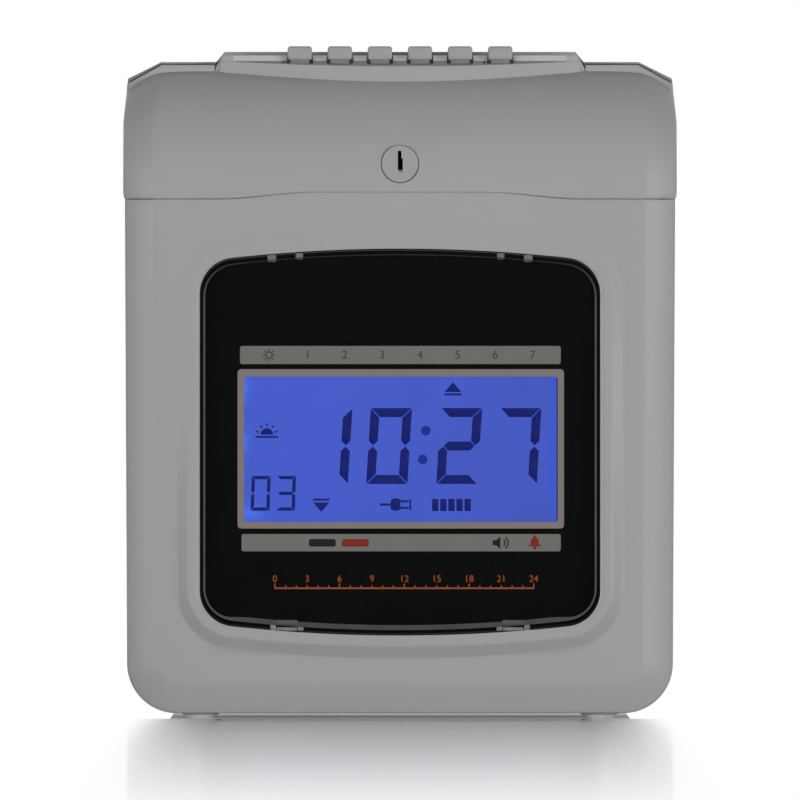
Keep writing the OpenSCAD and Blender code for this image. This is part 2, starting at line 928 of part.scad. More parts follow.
module lock_sleeve() {
    color("#b8b8b4")
    difference() {
        union() {
            bar_y(barrel_r + sleeve_t, y_lock - 0.1, y_cam - 1, 0, z_lock);
            bar_y(barrel_r + sleeve_t + 2, y_sleeve_seat, y_sleeve_seat + 2, 0, z_lock);
        }
        bar_y(barrel_r + run_fit, y_face - past, y_cam, 0, z_lock);
    }
}

module lock_barrel() {
    keyway_w = 1.8;
    keyway_h = 7.6;
    color("#a6a6a2")
    difference() {
        bar_y(barrel_r, y_lock, y_cam, 0, z_lock);
        block(-keyway_w / 2, keyway_w / 2, y_face - past, y_face + 9,
            z_lock - keyway_h / 2, z_lock + keyway_h / 2);
    }
}

module lock_cam() {
    color("#9fa0a2")
    union() {
        block(0, cam_l, y_cam, y_cam + cam_t, z_lock - cam_w / 2, z_lock + cam_w / 2);
        bar_y(cam_w / 2, y_cam, y_cam + cam_t, 0, z_lock);
        bar_y(2, y_cam + cam_t / 2, y_cam + cam_t + 1.5, 0, z_lock);
    }
}

module hinge_pins() {
    end = lug_l / 2 + near + ear_t;
    color("#c0c0c0")
    both_sides()
        bar_x(pin_r, lug_x - end, lug_x + end, y_pivot, z_pivot);
}

module base_plate() {
    z0 = z_floor + wall;
    color("#b0b4b8")
    difference() {
        block(-half_low + corner_r, half_low - corner_r, y_part + 3, y_back - 12, z0,
            z0 + plate_t + 0.5);
        for (x = [-foot_x, foot_x])
            bar_z(foot_stem_r + 1.5, z0 - past, z0 + 3, x, foot_y_rear);
    }
}

// One upright plate that carries the mechanism, seen from the side
module mechanism_plate(x0) {
    z0 = z_floor + wall + plate_t + 0.5;
    difference() {
        from_side(x0, x0 + plate_t)
            polygon([
                [y_plate_front, z_chute],
                [y_plate_front, z_plate_top],
                [y_plate_rear, z_plate_top],
                [y_plate_rear, z_plate_step],
                [y_plate_foot, z_plate_step],
                [y_plate_foot, z0],
                [y_part + 4, z0],
                [y_part + 4, z_chute]]);
        bar_x(shaft_r + run_fit, x0 - past, x0 + plate_t + past, y_feed, z_feed);
        for (y = [y_rod_front, y_rod_rear])
            bar_x(rod_r, x0 - past, x0 + plate_t + past, y, z_rod);
        bar_x(3.5, x0 - past, x0 + plate_t + past, y_feed_motor, z_feed_motor);
    }
}

module left_mechanism_plate() {
    color("#b4b8bc")
        mechanism_plate(-plate_x - plate_t);
}

module right_mechanism_plate() {
    color("#b4b8bc")
        mechanism_plate(plate_x);
}

// Side tabs that join a chute plate to the mechanism plates
module chute_tabs(y0, y1) {
    tab_h = 12;
    both_sides()
        for (z = [z_chute + 30, z_chute + 90, z_plate_top - 18])
            block(chute_x - past, plate_x, y0, y1, z, z + tab_h);
}

module chute_front_plate() {
    y0 = y_chute_front - plate_t;
    ear_x = roller_x + roller_l / 2 + slot_margin + 2;
    color("#c4c8cc")
    difference() {
        union() {
            block(-chute_x, chute_x, y0, y_chute_front, z_chute, z_chute_top);
            chute_tabs(y0, y_chute_front);
            both_sides()
                from_side(ear_x, ear_x + plate_t)
                    polygon([
                        [y0 + plate_t / 2, z_feed - 6],
                        [y0 + plate_t / 2, z_feed + 6],
                        [y_pinch - 3, z_feed + 3],
                        [y_pinch - 3, z_feed - 3]]);
        }
        block(-guide_x, guide_x, y0 - past, y_chute_front + past,
            z_print - print_h / 2, z_print + print_h / 2);
        both_sides()
            block(roller_x - roller_l / 2 - slot_margin, roller_x + roller_l / 2 + slot_margin,
                y0 - past, y_chute_front + past, z_feed - pinch_r - 0.6, z_feed + pinch_r + 0.6);
        bar_x(1.5 + run_fit, -ear_x - 5, ear_x + 5, y_pinch, z_feed);
    }
}

module chute_rear_plate() {
    y1 = y_chute_rear + plate_t;
    color("#c4c8cc")
    difference() {
        union() {
            block(-chute_x, chute_x, y_chute_rear, y1, z_chute, z_chute_top);
            chute_tabs(y_chute_rear, y1);
            both_sides()
                block(guide_x, guide_x + plate_t, y_chute_front, y_chute_rear + past,
                    z_chute, z_chute_top);
            block(-guide_x, guide_x, y_chute_front, y_chute_rear + past, z_chute, z_chute + 2);
        }
        block(-guide_x + 1, guide_x - 1, y_chute_front - past, y1 + past,
            z_print - print_h / 2, z_print + print_h / 2);
        both_sides()
            block(roller_x - roller_l / 2 - slot_margin, roller_x + roller_l / 2 + slot_margin,
                y_chute_rear - past, y1 + past, z_feed - feed_r - 0.4, z_feed + feed_r + 0.4);
    }
}

module card_funnel() {
    rise = funnel_rise;
    color("#2a2a2c")
    difference() {
        block(-chute_x - 3, chute_x + 3, y_chute_front - 2.1, y_chute_rear + 4,
            z_chute_top, z_chute_top + rise);
        block(-guide_x, guide_x, y_chute_front, y_chute_rear, z_chute_top - past,
            z_chute_top + rise + past);
        from_side(-guide_x, guide_x)
            polygon([
                [y_chute_front, z_chute_top],
                [y_chute_front - 1, z_chute_top + rise + past],
                [y_chute_rear + 3, z_chute_top + rise + past],
                [y_chute_rear, z_chute_top + 1]]);
    }
}

module card_sensor() {
    y1 = y_chute_rear + plate_t;
    color("#202022")
        for (z = [z_chute + 8, z_plate_top - 2])
            block(-6, 6, y1, y1 + 7, z, z + 9);
}

module platen_bar() {
    y0 = y_chute_front - plate_t;
    nose_h = print_h - 1;
    color("#3a3a3c")
    union() {
        block(-chute_x + 1, chute_x - 1, y0 - 4, y0, z_print - print_h / 2 - 3,
            z_print + print_h / 2 + 3);
        block(-guide_x + 0.5, guide_x - 0.5, y0 - past, y_chute_front, z_print - nose_h / 2,
            z_print + nose_h / 2);
    }
}

module guide_rods() {
    color("#d0d0d0")
        for (y = [y_rod_front, y_rod_rear])
            bar_x(rod_r, -plate_x - plate_t, plate_x + plate_t, y, z_rod);
}

module ribbon_cassette() {
    arm_w = 3;
    arm_d = 4;
    z_tab = z_cassette + 3;
    color("#28282a")
    difference() {
        union() {
            block(-chute_x, chute_x, y_ribbon, y_plate_rear - 2, z_cassette,
                z_cassette + cassette_h);
            both_sides() {
                block(chute_x - arm_w, chute_x, y_ribbon, y_ribbon + arm_d,
                    z_print - print_h / 2 - 1, z_cassette + past);
                block(chute_x - past, plate_x, y_ribbon + 8, y_ribbon + 18, z_tab, z_tab + 4);
            }
        }
        bar_z(1.5 + run_fit, z_cassette + 4, case_h, knob_x, y_rod_front);
    }
}

module ribbon() {
    color("#181820")
        block(-chute_x + 3, chute_x - 3, y_ribbon, y_ribbon + ribbon_t,
            z_print - print_h / 2, z_print + print_h / 2);
}

module ribbon_knob() {
    z0 = z_cassette + cassette_h + near;
    grip_count = 12;
    color("#d8d8d4")
    difference() {
        union() {
            bar_z(knob_r, z0, z0 + 5.5, knob_x, y_rod_front);
            bar_z(1.5, z_cassette + 5, z0 + 1, knob_x, y_rod_front);
        }
        for (i = [0:grip_count - 1])
            translate([knob_x, y_rod_front, 0])
                rotate([0, 0, i * 360 / grip_count])
                    bar_z(1, z0 + 1, case_h, knob_r + 0.4, 0);
    }
}

module carriage() {
    half = carriage_w / 2;
    color("#3c3c40")
    difference() {
        union() {
            block(-half, half, y_rod_front - 5, y_rod_rear + 5, z_rod - 4, z_rod + 4);
            block(-4, 4, y_rod_rear + 4, y_drive - drive_r - belt_t - near, z_drive - 2,
                z_drive + 2.5);
        }
        for (y = [y_rod_front, y_rod_rear])
            bar_x(rod_r + run_fit, -half - past, half + past, y, z_rod);
    }
}

module print_head() {
    z0 = z_rod + 4;
    color("#505258")
    union() {
        block(-9, 9, y_rod_front - 5, y_rod_rear + 3, z0, z_cassette - 2);
        block(-4, 4, y_ribbon + ribbon_t + near, y_rod_front - 4, z_print - 3.5 + 2, z_print + 3.5);
        for (i = [0:4])
            block(-9 + i * 4, -7.5 + i * 4, y_rod_rear + 2.5, y_rod_rear + 5, z0,
                z_cassette - 2);
    }
}

// A flanged pulley on an upright axis at x
module upright_pulley(x) {
    r = drive_r - near;
    z0 = z_drive - belt_w / 2 - near;
    z1 = z_drive + belt_w / 2 + near;
    bar_z(r, z0 - 0.5, z1 + 0.5, x, y_drive);
    bar_z(drive_r + belt_t + 0.4, z0 - 1, z0, x, y_drive);
    bar_z(drive_r + belt_t + 0.4, z1, z1 + 1, x, y_drive);
}

module drive_pulley() {
    color("#d8d8d8")
    union() {
        upright_pulley(-pulley_x);
        bar_z(1.5, z_bridge - 6, z_drive, -pulley_x, y_drive);
    }
}

module idler_pulley() {
    color("#d8d8d8")
    difference() {
        upright_pulley(pulley_x);
        bar_z(1.5 + run_fit, z_bridge, case_h, pulley_x, y_drive);
    }
}

module carriage_belt() {
    color("#202020")
    translate([-pulley_x, y_drive, z_drive - belt_w / 2])
    difference() {
        linear_extrude(belt_w)
            belt_outline(drive_r + belt_t, drive_r + belt_t, 2 * pulley_x);
        translate([0, 0, -past])
            linear_extrude(belt_w + 2 * past)
                belt_outline(drive_r, drive_r, 2 * pulley_x);
    }
}

module carriage_motor() {
    r = 12;
    color("#8a8e92")
    difference() {
        union() {
            bar_z(r, z_bridge - 22, z_bridge, -pulley_x + 8, y_drive + 4);
            bar_z(3, z_bridge - 24, z_bridge - 21, -pulley_x + 8, y_drive + 4);
        }
        bar_z(1.5 + run_fit, z_bridge - 8, z_bridge + past, -pulley_x, y_drive);
    }
}

module motor_bridge() {
    z1 = z_bridge + bridge_t;
    color("#b4b8bc")
    difference() {
        union() {
            block(-plate_x - plate_t, plate_x + plate_t, y_plate_rear, y_drive + 17, z_bridge, z1);
            both_sides()
                block(plate_x, plate_x + plate_t, y_plate_rear, y_plate_rear + 8, z_bridge - 14,
                    z_bridge + past / 2);
            bar_z(1.5, z_bridge, z_drive + belt_w / 2 + 2, pulley_x, y_drive);
        }
        bar_z(2.5, z_bridge - past, z1 + past, -pulley_x, y_drive);
    }
}

module feed_shaft() {
    color("#d0d0d0")
        bar_x(shaft_r, -plate_x - 5, belt_x + 5, y_feed, z_feed);
}

module feed_rollers() {
    color("#2c2c2e")
    both_sides()
        difference() {
            bar_x(feed_r, roller_x - roller_l / 2, roller_x + roller_l / 2, y_feed, z_feed);
            bar_x(shaft_r, 0, plate_x, y_feed, z_feed);
        }
}

// A flanged pulley along X for the feed belt
module feed_belt_pulley(r, y, z) {
    half = belt_w / 2 + near - 1;
    bar_x(r - near, belt_x - half - 0.5, belt_x + half + 0.5, y, z);
    for (x = [belt_x - half - 1, belt_x + half])
        bar_x(r + belt_t + 0.4, x, x + 1, y, z);
}

module feed_pulley() {
    color("#e0e0dc")
    difference() {
        feed_belt_pulley(feed_pulley_r, y_feed, z_feed);
        bar_x(shaft_r, 0, half_w, y_feed, z_feed);
    }
}

module motor_pulley() {
    color("#e0e0dc")
    union() {
        feed_belt_pulley(motor_pulley_r, y_feed_motor, z_feed_motor);
        bar_x(1.5, plate_x - 8, belt_x, y_feed_motor, z_feed_motor);
    }
}

module feed_belt() {
    rise = z_feed - z_feed_motor;
    run = y_feed - y_feed_motor;
    distance = sqrt(rise * rise + run * run);
    width = belt_w - 2;
    color("#202020")
    translate([belt_x - width / 2, y_feed_motor, z_feed_motor])
    rotate([90, 0, 90])
    rotate([0, 0, atan2(rise, run)])
    difference() {
        linear_extrude(width)
            belt_outline(motor_pulley_r + belt_t, feed_pulley_r + belt_t, distance);
        translate([0, 0, -past])
            linear_extrude(width + 2 * past)
                belt_outline(motor_pulley_r, feed_pulley_r, distance);
    }
}

module feed_motor() {
    color("#8a8e92")
    difference() {
        union() {
            bar_x(feed_motor_r, plate_x - feed_motor_l, plate_x, y_feed_motor, z_feed_motor);
            bar_x(3.5, plate_x - past, plate_x + plate_t, y_feed_motor, z_feed_motor);
            bar_x(4, plate_x - feed_motor_l - 2, plate_x - feed_motor_l + past,
                y_feed_motor, z_feed_motor);
        }
        bar_x(1.5 + run_fit, plate_x - 9, half_w, y_feed_motor, z_feed_motor);
    }
}

module pinch_rollers() {
    ear_x = roller_x + roller_l / 2 + slot_margin + 2;
    color("#303032")
    union() {
        bar_x(1.5, -ear_x - plate_t, ear_x + plate_t, y_pinch, z_feed);
        both_sides()
            bar_x(pinch_r, roller_x - roller_l / 2, roller_x + roller_l / 2, y_pinch, z_feed);
    }
}

module main_board() {
    y1 = y_back - board_back;
    y0 = y1 - board_t;
    y_on = y0 + board_t / 2;
    color("#2f6b3a")
    union() {
        block(-board_x, board_x, y0, y1, z_board, z_feed + 30);
        block(-20, 14, y0 - 3, y_on, z_feed - 40, z_feed - 6);
        block(-board_x + 14, -board_x + 44, y0 - 8, y_on, z_feed + 12, z_feed + 20);
        block(board_x - 50, board_x - 14, y0 - 8, y_on, z_board + 6, z_board + 14);
        for (z = [z_board + 20, z_board + 38])
            bar_y(6, y0 - 14, y_on, -board_x + 22, z);
        for (x = [30, 42, 54])
            bar_y(2.5, y0 - 7, y_on, x, z_feed - 20);
    }
}

module transformer() {
    z0 = z_floor + wall + plate_t + 0.5;
    color("#6a6258")
    union() {
        block(-42, 4, 16, 36, z0, z0 + 38);
        block(-36, -2, 10, 42, z0 + 7, z0 + 31);
        block(-50, 12, 18, 34, z0, z0 + 1.5);
    }
}

module battery_pack() {
    z0 = z_floor + wall + plate_t + 0.5;
    cell_r = 7;
    cell_l = 46;
    cell_pitch = 2 * cell_r + 0.6;
    x0 = plate_x + plate_t + 1;
    y0 = -4;
    high = 4 * cell_pitch + 1;
    color("#3f7f4f")
    union() {
        for (i = [0:3])
            bar_y(cell_r, y0 - 0.5, y0 + cell_l + 0.5, x0 + cell_r + 1,
                z0 + 1 + (i + 0.5) * cell_pitch);
        block(x0, x0 + 2, y0 - 1, y0 + cell_l + 1, z0, z0 + high);
        for (y = [y0 - 1, y0 + cell_l])
            block(x0, x0 + 2 * cell_r + 4, y, y + 1, z0, z0 + high);
    }
}

module mains_inlet() {
    y_in = y_back - inlet_depth;
    color("#1c1c1e")
    difference() {
        block(inlet_x - inlet_w / 2, inlet_x + inlet_w / 2, y_in - 2, y_back,
            z_inlet - inlet_h / 2, z_inlet + inlet_h / 2);
        from_front(y_in, y_back + past)
            translate([inlet_x, z_inlet])
                inlet_mouth();
        for (x = [-inlet_pitch / 2, inlet_pitch / 2])
            bar_y(inlet_pin_r, y_in - 3, y_in + past, inlet_x + x, z_inlet);
    }
}

// The figure-of-eight mouth of the inlet
module inlet_mouth() {
    r = 3.6;
    union() {
        for (x = [-inlet_pitch / 2, inlet_pitch / 2])
            translate([x, 0])
                circle(r);
        translate([-inlet_pitch / 2, -r])
            square([inlet_pitch, 2 * r]);
    }
}

module inlet_pins() {
    color("#d8c890")
        for (x = [-inlet_pitch / 2, inlet_pitch / 2])
            bar_y(inlet_pin_r, y_back - inlet_depth - 6, y_back - 3, inlet_x + x, z_inlet);
}

module rubber_feet() {
    color("#707070")
        for (x = [-foot_x, foot_x], y = [foot_y_front, foot_y_rear])
            translate([x, y, 0])
                union() {
                    cylinder(r1 = foot_r, r2 = foot_top_r, h = z_floor);
                    cylinder(r = foot_stem_r, h = z_floor + wall);
                }
}

module case_screws() {
    y_seat = y_back - wall - pillar_back + 2;
    color("#c8c8c8")
        for (x = [-screw_x, screw_x], z = [z_screw_low, z_screw_high])
            difference() {
                union() {
                    bar_y(screw_r, y_seat - 14, y_seat + past, x, z);
                    bar_y(screw_head_r, y_seat, y_seat + 2.2, x, z);
                }
                block(x - 2.2, x + 2.2, y_seat + 1.2, y_back, z - 0.4, z + 0.4);
                block(x - 0.4, x + 0.4, y_seat + 1.2, y_back, z - 2.2, z + 2.2);
            }
}

front_housing();
rear_housing();
hood();
display_lens();
display_mask();
lcd_panel();
backlight();
display_board();
buzzer();
base_plate();
left_mechanism_plate();
right_mechanism_plate();
chute_front_plate();
chute_rear_plate();
card_funnel();
card_sensor();
platen_bar();
guide_rods();
ribbon_cassette();
ribbon();
ribbon_knob();
carriage();
print_head();
carriage_belt();
drive_pulley();
idler_pulley();
carriage_motor();
motor_bridge();
feed_shaft();
feed_rollers();
feed_pulley();
feed_belt();
feed_motor();
motor_pulley();
pinch_rollers();
main_board();
transformer();
battery_pack();
mains_inlet();
inlet_pins();
rubber_feet();
case_screws();
hinge_pins();
lock_sleeve();
lock_barrel();
lock_cam();
key_board();
set_key_board();
column_key(0);  // column_key_1
column_key(1);  // column_key_2
column_key(2);  // column_key_3
column_key(3);  // column_key_4
column_key(4);  // column_key_5
column_key(5);  // column_key_6
set_key(0);  // set_key_1
set_key(1);  // set_key_2
set_key(2);  // set_key_3
set_key(3);  // set_key_4
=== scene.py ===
"""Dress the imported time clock: moulded grey shells, a lit display, keys, lock and mechanism."""

import json
import logging
import math
from contextlib import contextmanager
from dataclasses import dataclass, replace
from enum import Enum
from typing import Iterable, Iterator, Optional, Sequence

import bmesh
import bpy
import numpy as np
from mathutils import Matrix, Vector


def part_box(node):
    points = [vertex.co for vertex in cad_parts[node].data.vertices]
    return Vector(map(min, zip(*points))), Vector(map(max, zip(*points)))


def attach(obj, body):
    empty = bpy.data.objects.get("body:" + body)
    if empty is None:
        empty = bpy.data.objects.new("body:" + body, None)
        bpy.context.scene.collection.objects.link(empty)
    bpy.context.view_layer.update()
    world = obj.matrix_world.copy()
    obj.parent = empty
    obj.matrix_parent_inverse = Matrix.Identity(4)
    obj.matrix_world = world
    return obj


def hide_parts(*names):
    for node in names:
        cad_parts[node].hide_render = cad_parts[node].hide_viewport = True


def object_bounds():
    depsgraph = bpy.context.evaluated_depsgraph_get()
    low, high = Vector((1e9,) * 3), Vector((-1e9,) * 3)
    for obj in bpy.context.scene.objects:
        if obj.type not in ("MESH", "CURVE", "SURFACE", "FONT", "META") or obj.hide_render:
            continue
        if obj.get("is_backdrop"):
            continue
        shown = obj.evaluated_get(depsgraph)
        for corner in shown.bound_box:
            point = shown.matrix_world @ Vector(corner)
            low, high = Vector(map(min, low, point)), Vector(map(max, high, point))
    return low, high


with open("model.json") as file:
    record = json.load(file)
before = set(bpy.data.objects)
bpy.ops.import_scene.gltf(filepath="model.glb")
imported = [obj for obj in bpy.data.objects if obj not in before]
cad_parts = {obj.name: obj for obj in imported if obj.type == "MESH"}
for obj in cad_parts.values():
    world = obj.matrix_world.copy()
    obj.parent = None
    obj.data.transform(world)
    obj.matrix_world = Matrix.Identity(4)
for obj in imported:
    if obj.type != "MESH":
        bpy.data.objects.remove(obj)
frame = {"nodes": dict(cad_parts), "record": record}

logging.basicConfig(level=logging.INFO, format="%(name)s: %(message)s")
LOG = logging.getLogger("time_clock")

MM = 0.001
CREASE = 38.0  # edges sharper than this many degrees stay sharp on finished pieces
KEY_COUNT = 6
Array = np.ndarray
Piece = bpy.types.Object
Socket = bpy.types.NodeSocket


def corner(node: str, high: bool) -> Array:
    """Return a CAD node's lowest or highest corner, in millimetres."""
    return np.array(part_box(node)[1 if high else 0]) / MM


def span(node: str) -> tuple[Array, Array]:
    """Return a CAD node's lowest and highest corner, in millimetres."""
    return corner(node, False), corner(node, True)


def column_keys() -> Iterator[tuple[int, Array, Array, float]]:
    """Yield each column key's number, lowest and highest corner and middle x."""
    for k in range(1, KEY_COUNT + 1):
        low, high = span(f"column_key_{k}")
        yield k, low, high, (low[0] + high[0]) / 2


CAD_LOW, CAD_HIGH = (np.array(c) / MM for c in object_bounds())
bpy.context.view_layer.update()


class Side(Enum):
    """The two sides of the object, seen from the front."""

    LEFT = -1
    RIGHT = 1


@dataclass(frozen=True)
class Case:
    """The driving places of the case in millimetres, taken from the frame where it holds them."""

    half_w: float = float(CAD_HIGH[0])
    y_front: float = float(CAD_LOW[1])
    height: float = float(CAD_HIGH[2])
    z_floor: float = float(corner("front_housing", False)[2])
    y_part: float = float(corner("rear_housing", False)[1])
    swell: float = 3.0
    corner_r: float = 18.0
    brow_r: float = 44.0
    seam_rise: float = 2.6
    seam_flat_x: float = 30.0
    seam_low_x: float = 66.0
    back_gap: float = 0.5
    seam_gap: tuple[float, float] = (0.3, 0.08)

    @property
    def y_face(self) -> float:
        """The flat front face."""
        return self.y_front + self.swell

    @property
    def y_hood_back(self) -> float:
        """The rear edge of the hood."""
        return self.y_part - self.back_gap

    @property
    def z_seam(self) -> float:
        """The joint between the front housing and the hood, at the sides."""
        return self.height - 55.6

    @property
    def z_top(self) -> float:
        """The flat top of the rear housing."""
        return self.height - 5.6

    @property
    def z_rim(self) -> float:
        """The top of the hood's rim."""
        return self.z_top - 1.5

    @property
    def z_brow_centre(self) -> float:
        """The height of the brow's centre of curvature."""
        return self.z_seam + 4.6

    def seam(self, x: Array) -> Array:
        """The height of the seam over x: low at the sides, eased up to a raised middle."""
        return self.z_seam + self.seam_rise * self.seam_share(x)

    def seam_share(self, x: Array) -> Array:
        """How far the seam has risen over x, from 0 at the sides to 1 in the middle."""
        return smooth((self.seam_low_x - np.abs(x)) / (self.seam_low_x - self.seam_flat_x))

    def hood_low(self, x: Array) -> Array:
        """The lower edge of the hood: the seam plus a gap that closes up in the middle."""
        side, middle = self.seam_gap
        return self.seam(x) + side + (middle - side) * self.seam_share(x)

    def half_width(self, z: Array) -> Array:
        """The half width of the shells over z, widest across the hood."""
        return np.interp(z, [0, self.z_seam, self.z_seam + 0.3, self.z_seam + 1.5,
                             self.z_seam + 3, self.z_top - 22, self.z_top - 6],
                         self.half_w - np.array([1.5, 0.6, 0.45, 0.1, 0.0, 0.0, 1.5]))


def smooth(t: Array) -> Array:
    """Ease from 0 to 1: 3t^2 - 2t^3."""
    t = np.clip(t, 0.0, 1.0)
    return t * t * (3 - 2 * t)


CASE = Case()


def turned_profile(turns: Sequence[tuple[float, float, float]], step: float) -> tuple[Array, Array]:
    """Walk a profile by its tilt: the place is the sum of small steps along the turning tilt.

    Args:
        turns: stretches of (length, tilt at the start, tilt at the end), tilts in degrees.
        step: the longest step, in millimetres.

    Returns:
        The distance gone inwards and the depth still to rise, both from the outer end on,
        with the depth ending at 0.
    """
    across, rise = [0.0], [0.0]
    for length, tilt0, tilt1 in turns:
        parts = max(2, int(math.ceil(length / step)), int(abs(tilt1 - tilt0) / 9) + 1)
        tilts = np.radians(np.linspace(tilt0, tilt1, 2 * parts + 1)[1::2])
        across.extend(across[-1] + np.cumsum(np.cos(tilts)) * length / parts)
        rise.extend(rise[-1] + np.cumsum(np.sin(tilts)) * length / parts)
    return np.array(across), rise[-1] - np.array(rise)


def grid_quads(rows: int, cols: int, wrap_cols: bool = False, wrap_rows: bool = False) -> Array:
    """Return the quads of a grid of points numbered row by row.

    Args:
        rows: number of rows.
        cols: number of columns.
        wrap_cols: join the last column to the first.
        wrap_rows: join the last row to the first.

    Returns:
        Point numbers, four a row.
    """
    r = np.arange(rows if wrap_rows else rows - 1)[:, None]
    c = np.arange(cols if wrap_cols else cols - 1)[None, :]
    r1, c1 = (r + 1) % rows, (c + 1) % cols
    quads = np.stack([r * cols + c, r * cols + c1, r1 * cols + c1, r1 * cols + c], axis=-1)
    return quads.reshape(-1, 4)


def link(name: str, data: bpy.types.ID) -> Piece:
    """Make an object of some data and link it to the scene."""
    obj = bpy.data.objects.new(name, data)
    bpy.context.scene.collection.objects.link(obj)
    return obj


def link_mesh(name: str, points: Array, quads: Array, caps: Iterable[Array] = (),
              shade: bool = True) -> Piece:
    """Make a mesh object from points in millimetres, quads and many-sided caps.

    Args:
        name: the piece's name.
        points: the places, one row each.
        quads: the four-sided faces.
        caps: lists of point numbers, one for each many-sided face.
        shade: shade smoothly, with edges over 30 degrees left sharp.

    Returns:
        The object, linked to the scene.
    """
    mesh = bpy.data.meshes.new(name)
    caps = [np.asarray(c, dtype=np.int64) for c in caps]
    loops = np.concatenate([quads.reshape(-1)] + caps) if len(caps) else quads.reshape(-1)
    totals = np.concatenate([np.full(len(quads), 4), [len(c) for c in caps]]).astype(np.int64)
    starts = np.concatenate([[0], np.cumsum(totals)[:-1]])
    mesh.vertices.add(len(points))
    mesh.vertices.foreach_set("co", (np.asarray(points) * MM).astype(np.float32).ravel())
    mesh.loops.add(len(loops))
    mesh.loops.foreach_set("vertex_index", loops.astype(np.int32))
    mesh.polygons.add(len(totals))
    mesh.polygons.foreach_set("loop_start", starts.astype(np.int32))
    mesh.polygons.foreach_set("loop_total", totals.astype(np.int32))
    mesh.update(calc_edges=True)
    mesh.validate()
    obj = link(name, mesh)
    if shade:
        smooth_shade(obj)
    return obj


def smooth_shade(obj: Piece, angle: float = 30.0) -> None:
    """Shade a mesh smoothly and mark the edges sharper than an angle in degrees."""
    mesh = obj.data
    mesh.polygons.foreach_set("use_smooth", np.ones(len(mesh.polygons), dtype=bool))
    mesh.set_sharp_from_angle(angle=math.radians(angle))


@contextmanager
def editing(obj: Piece) -> Iterator[bmesh.types.BMesh]:
    """Open a piece's mesh for editing and write it back afterwards."""
    bm = bmesh.new()
    bm.from_mesh(obj.data)
    yield bm
    bm.to_mesh(obj.data)
    bm.free()


def tidy_mesh(obj: Piece, merge: float = 0.002,
              outwards: bool = True) -> Piece:
    """Merge points closer than a distance in millimetres and turn the faces outwards.

    Args:
        obj: the piece.
        merge: the distance.
        outwards: whether to turn the faces.

    Returns:
        The same piece.
    """
    with editing(obj) as bm:
        bmesh.ops.remove_doubles(bm, verts=bm.verts, dist=merge * MM)
        bmesh.ops.dissolve_degenerate(bm, edges=bm.edges, dist=merge * MM / 2)
        if outwards:
            bmesh.ops.recalc_face_normals(bm, faces=bm.faces)
    smooth_shade(obj)
    return obj


def modify(obj: Piece, kind: str, **settings: object) -> Piece:
    """Bake one modifier into a piece's mesh.

    Args:
        obj: the piece.
        kind: the modifier's type.
        settings: its settings by name.

    Returns:
        The same piece.
    """
    mod = obj.modifiers.new(kind.lower(), kind)
    for key, value in settings.items():
        setattr(mod, key, value)
    depsgraph = bpy.context.evaluated_depsgraph_get()
    done = bpy.data.meshes.new_from_object(obj.evaluated_get(depsgraph))
    obj.modifiers.clear()
    old = obj.data
    obj.data = done
    bpy.data.meshes.remove(old)
    return obj


def thicken(obj: Piece, wall: float) -> Piece:
    """Give a sheet a wall behind its outer side, in millimetres, with closed rims."""
    return modify(obj, "SOLIDIFY", thickness=wall * MM, offset=-1.0, use_even_offset=True,
                  use_quality_normals=True, thickness_clamp=0.9)


def bevel(obj: Piece, width: float, angle: float = 40.0) -> None:
    """Round the edges sharper than an angle, by a width in millimetres."""
    modify(obj, "BEVEL", width=width * MM, segments=2, limit_method="ANGLE",
           angle_limit=math.radians(angle), miter_outer="MITER_ARC")
    smooth_shade(obj, CREASE)


def weigh_normals(obj: Piece) -> Piece:
    """Split the many-sided faces and let the large faces set their corners' normals."""
    with editing(obj) as bm:
        bmesh.ops.triangulate(bm, faces=[f for f in bm.faces if len(f.verts) > 4])
    smooth_shade(obj, CREASE)
    return modify(obj, "WEIGHTED_NORMAL", keep_sharp=True)


def cut(obj: Piece, cutters: Sequence[Piece],
        operation: str = "DIFFERENCE") -> Piece:
    """Take the cutters' shapes out of a closed piece and delete the cutters.

    Args:
        obj: the piece.
        cutters: closed shapes.
        operation: "DIFFERENCE", or "INTERSECT" to keep what lies inside.

    Returns:
        The same piece.
    """
    for cutter in cutters:
        modify(obj, "BOOLEAN", operation=operation, solver="EXACT", object=cutter)
        bpy.data.objects.remove(cutter)
    return obj


def paint_inside(obj: Piece, finish: "Kit", low: Sequence[float],
                 high: Sequence[float]) -> None:
    """Give the faces whose middles lie inside a box another finish.

    Args:
        obj: the piece, which has its own finish already.
        finish: the finish of the faces inside.
        low: lower corner of the box, mm.
        high: upper corner of the box, mm.
    """
    mesh = obj.data
    count = len(mesh.polygons)
    middles = np.empty(count * 3)
    mesh.polygons.foreach_get("center", middles)
    middles = middles.reshape(-1, 3) / MM
    slots = np.empty(count, dtype=np.int32)
    mesh.polygons.foreach_get("material_index", slots)
    inside = np.all((middles > np.asarray(low)) & (middles < np.asarray(high)), axis=1)
    mesh.materials.append(finish.material)
    slots[inside] = len(mesh.materials) - 1
    mesh.polygons.foreach_set("material_index", slots)
    mesh.update()
    LOG.info("%s: %d faces painted", obj.name, int(inside.sum()))


def join(name: str, objects: Sequence[Piece]) -> Piece:
    """Put several meshes into one piece of a given name, keeping their materials.

    Args:
        name: the new piece's name.
        objects: the meshes, which it uses up.

    Returns:
        The piece.
    """
    bm = bmesh.new()
    materials: list[bpy.types.Material] = []
    for obj in objects:
        shift = []
        for mat in obj.data.materials:
            if mat not in materials:
                materials.append(mat)
            shift.append(materials.index(mat))
        before = len(bm.faces)
        bm.from_mesh(obj.data)
        bm.faces.ensure_lookup_table()
        if shift:
            for face in bm.faces[before:]:
                face.material_index = shift[face.material_index]
    mesh = bpy.data.meshes.new(name)
    bm.to_mesh(mesh)
    bm.free()
    for mat in materials:
        mesh.materials.append(mat)
    for obj in objects:
        bpy.data.objects.remove(obj)
    return link(name, mesh)


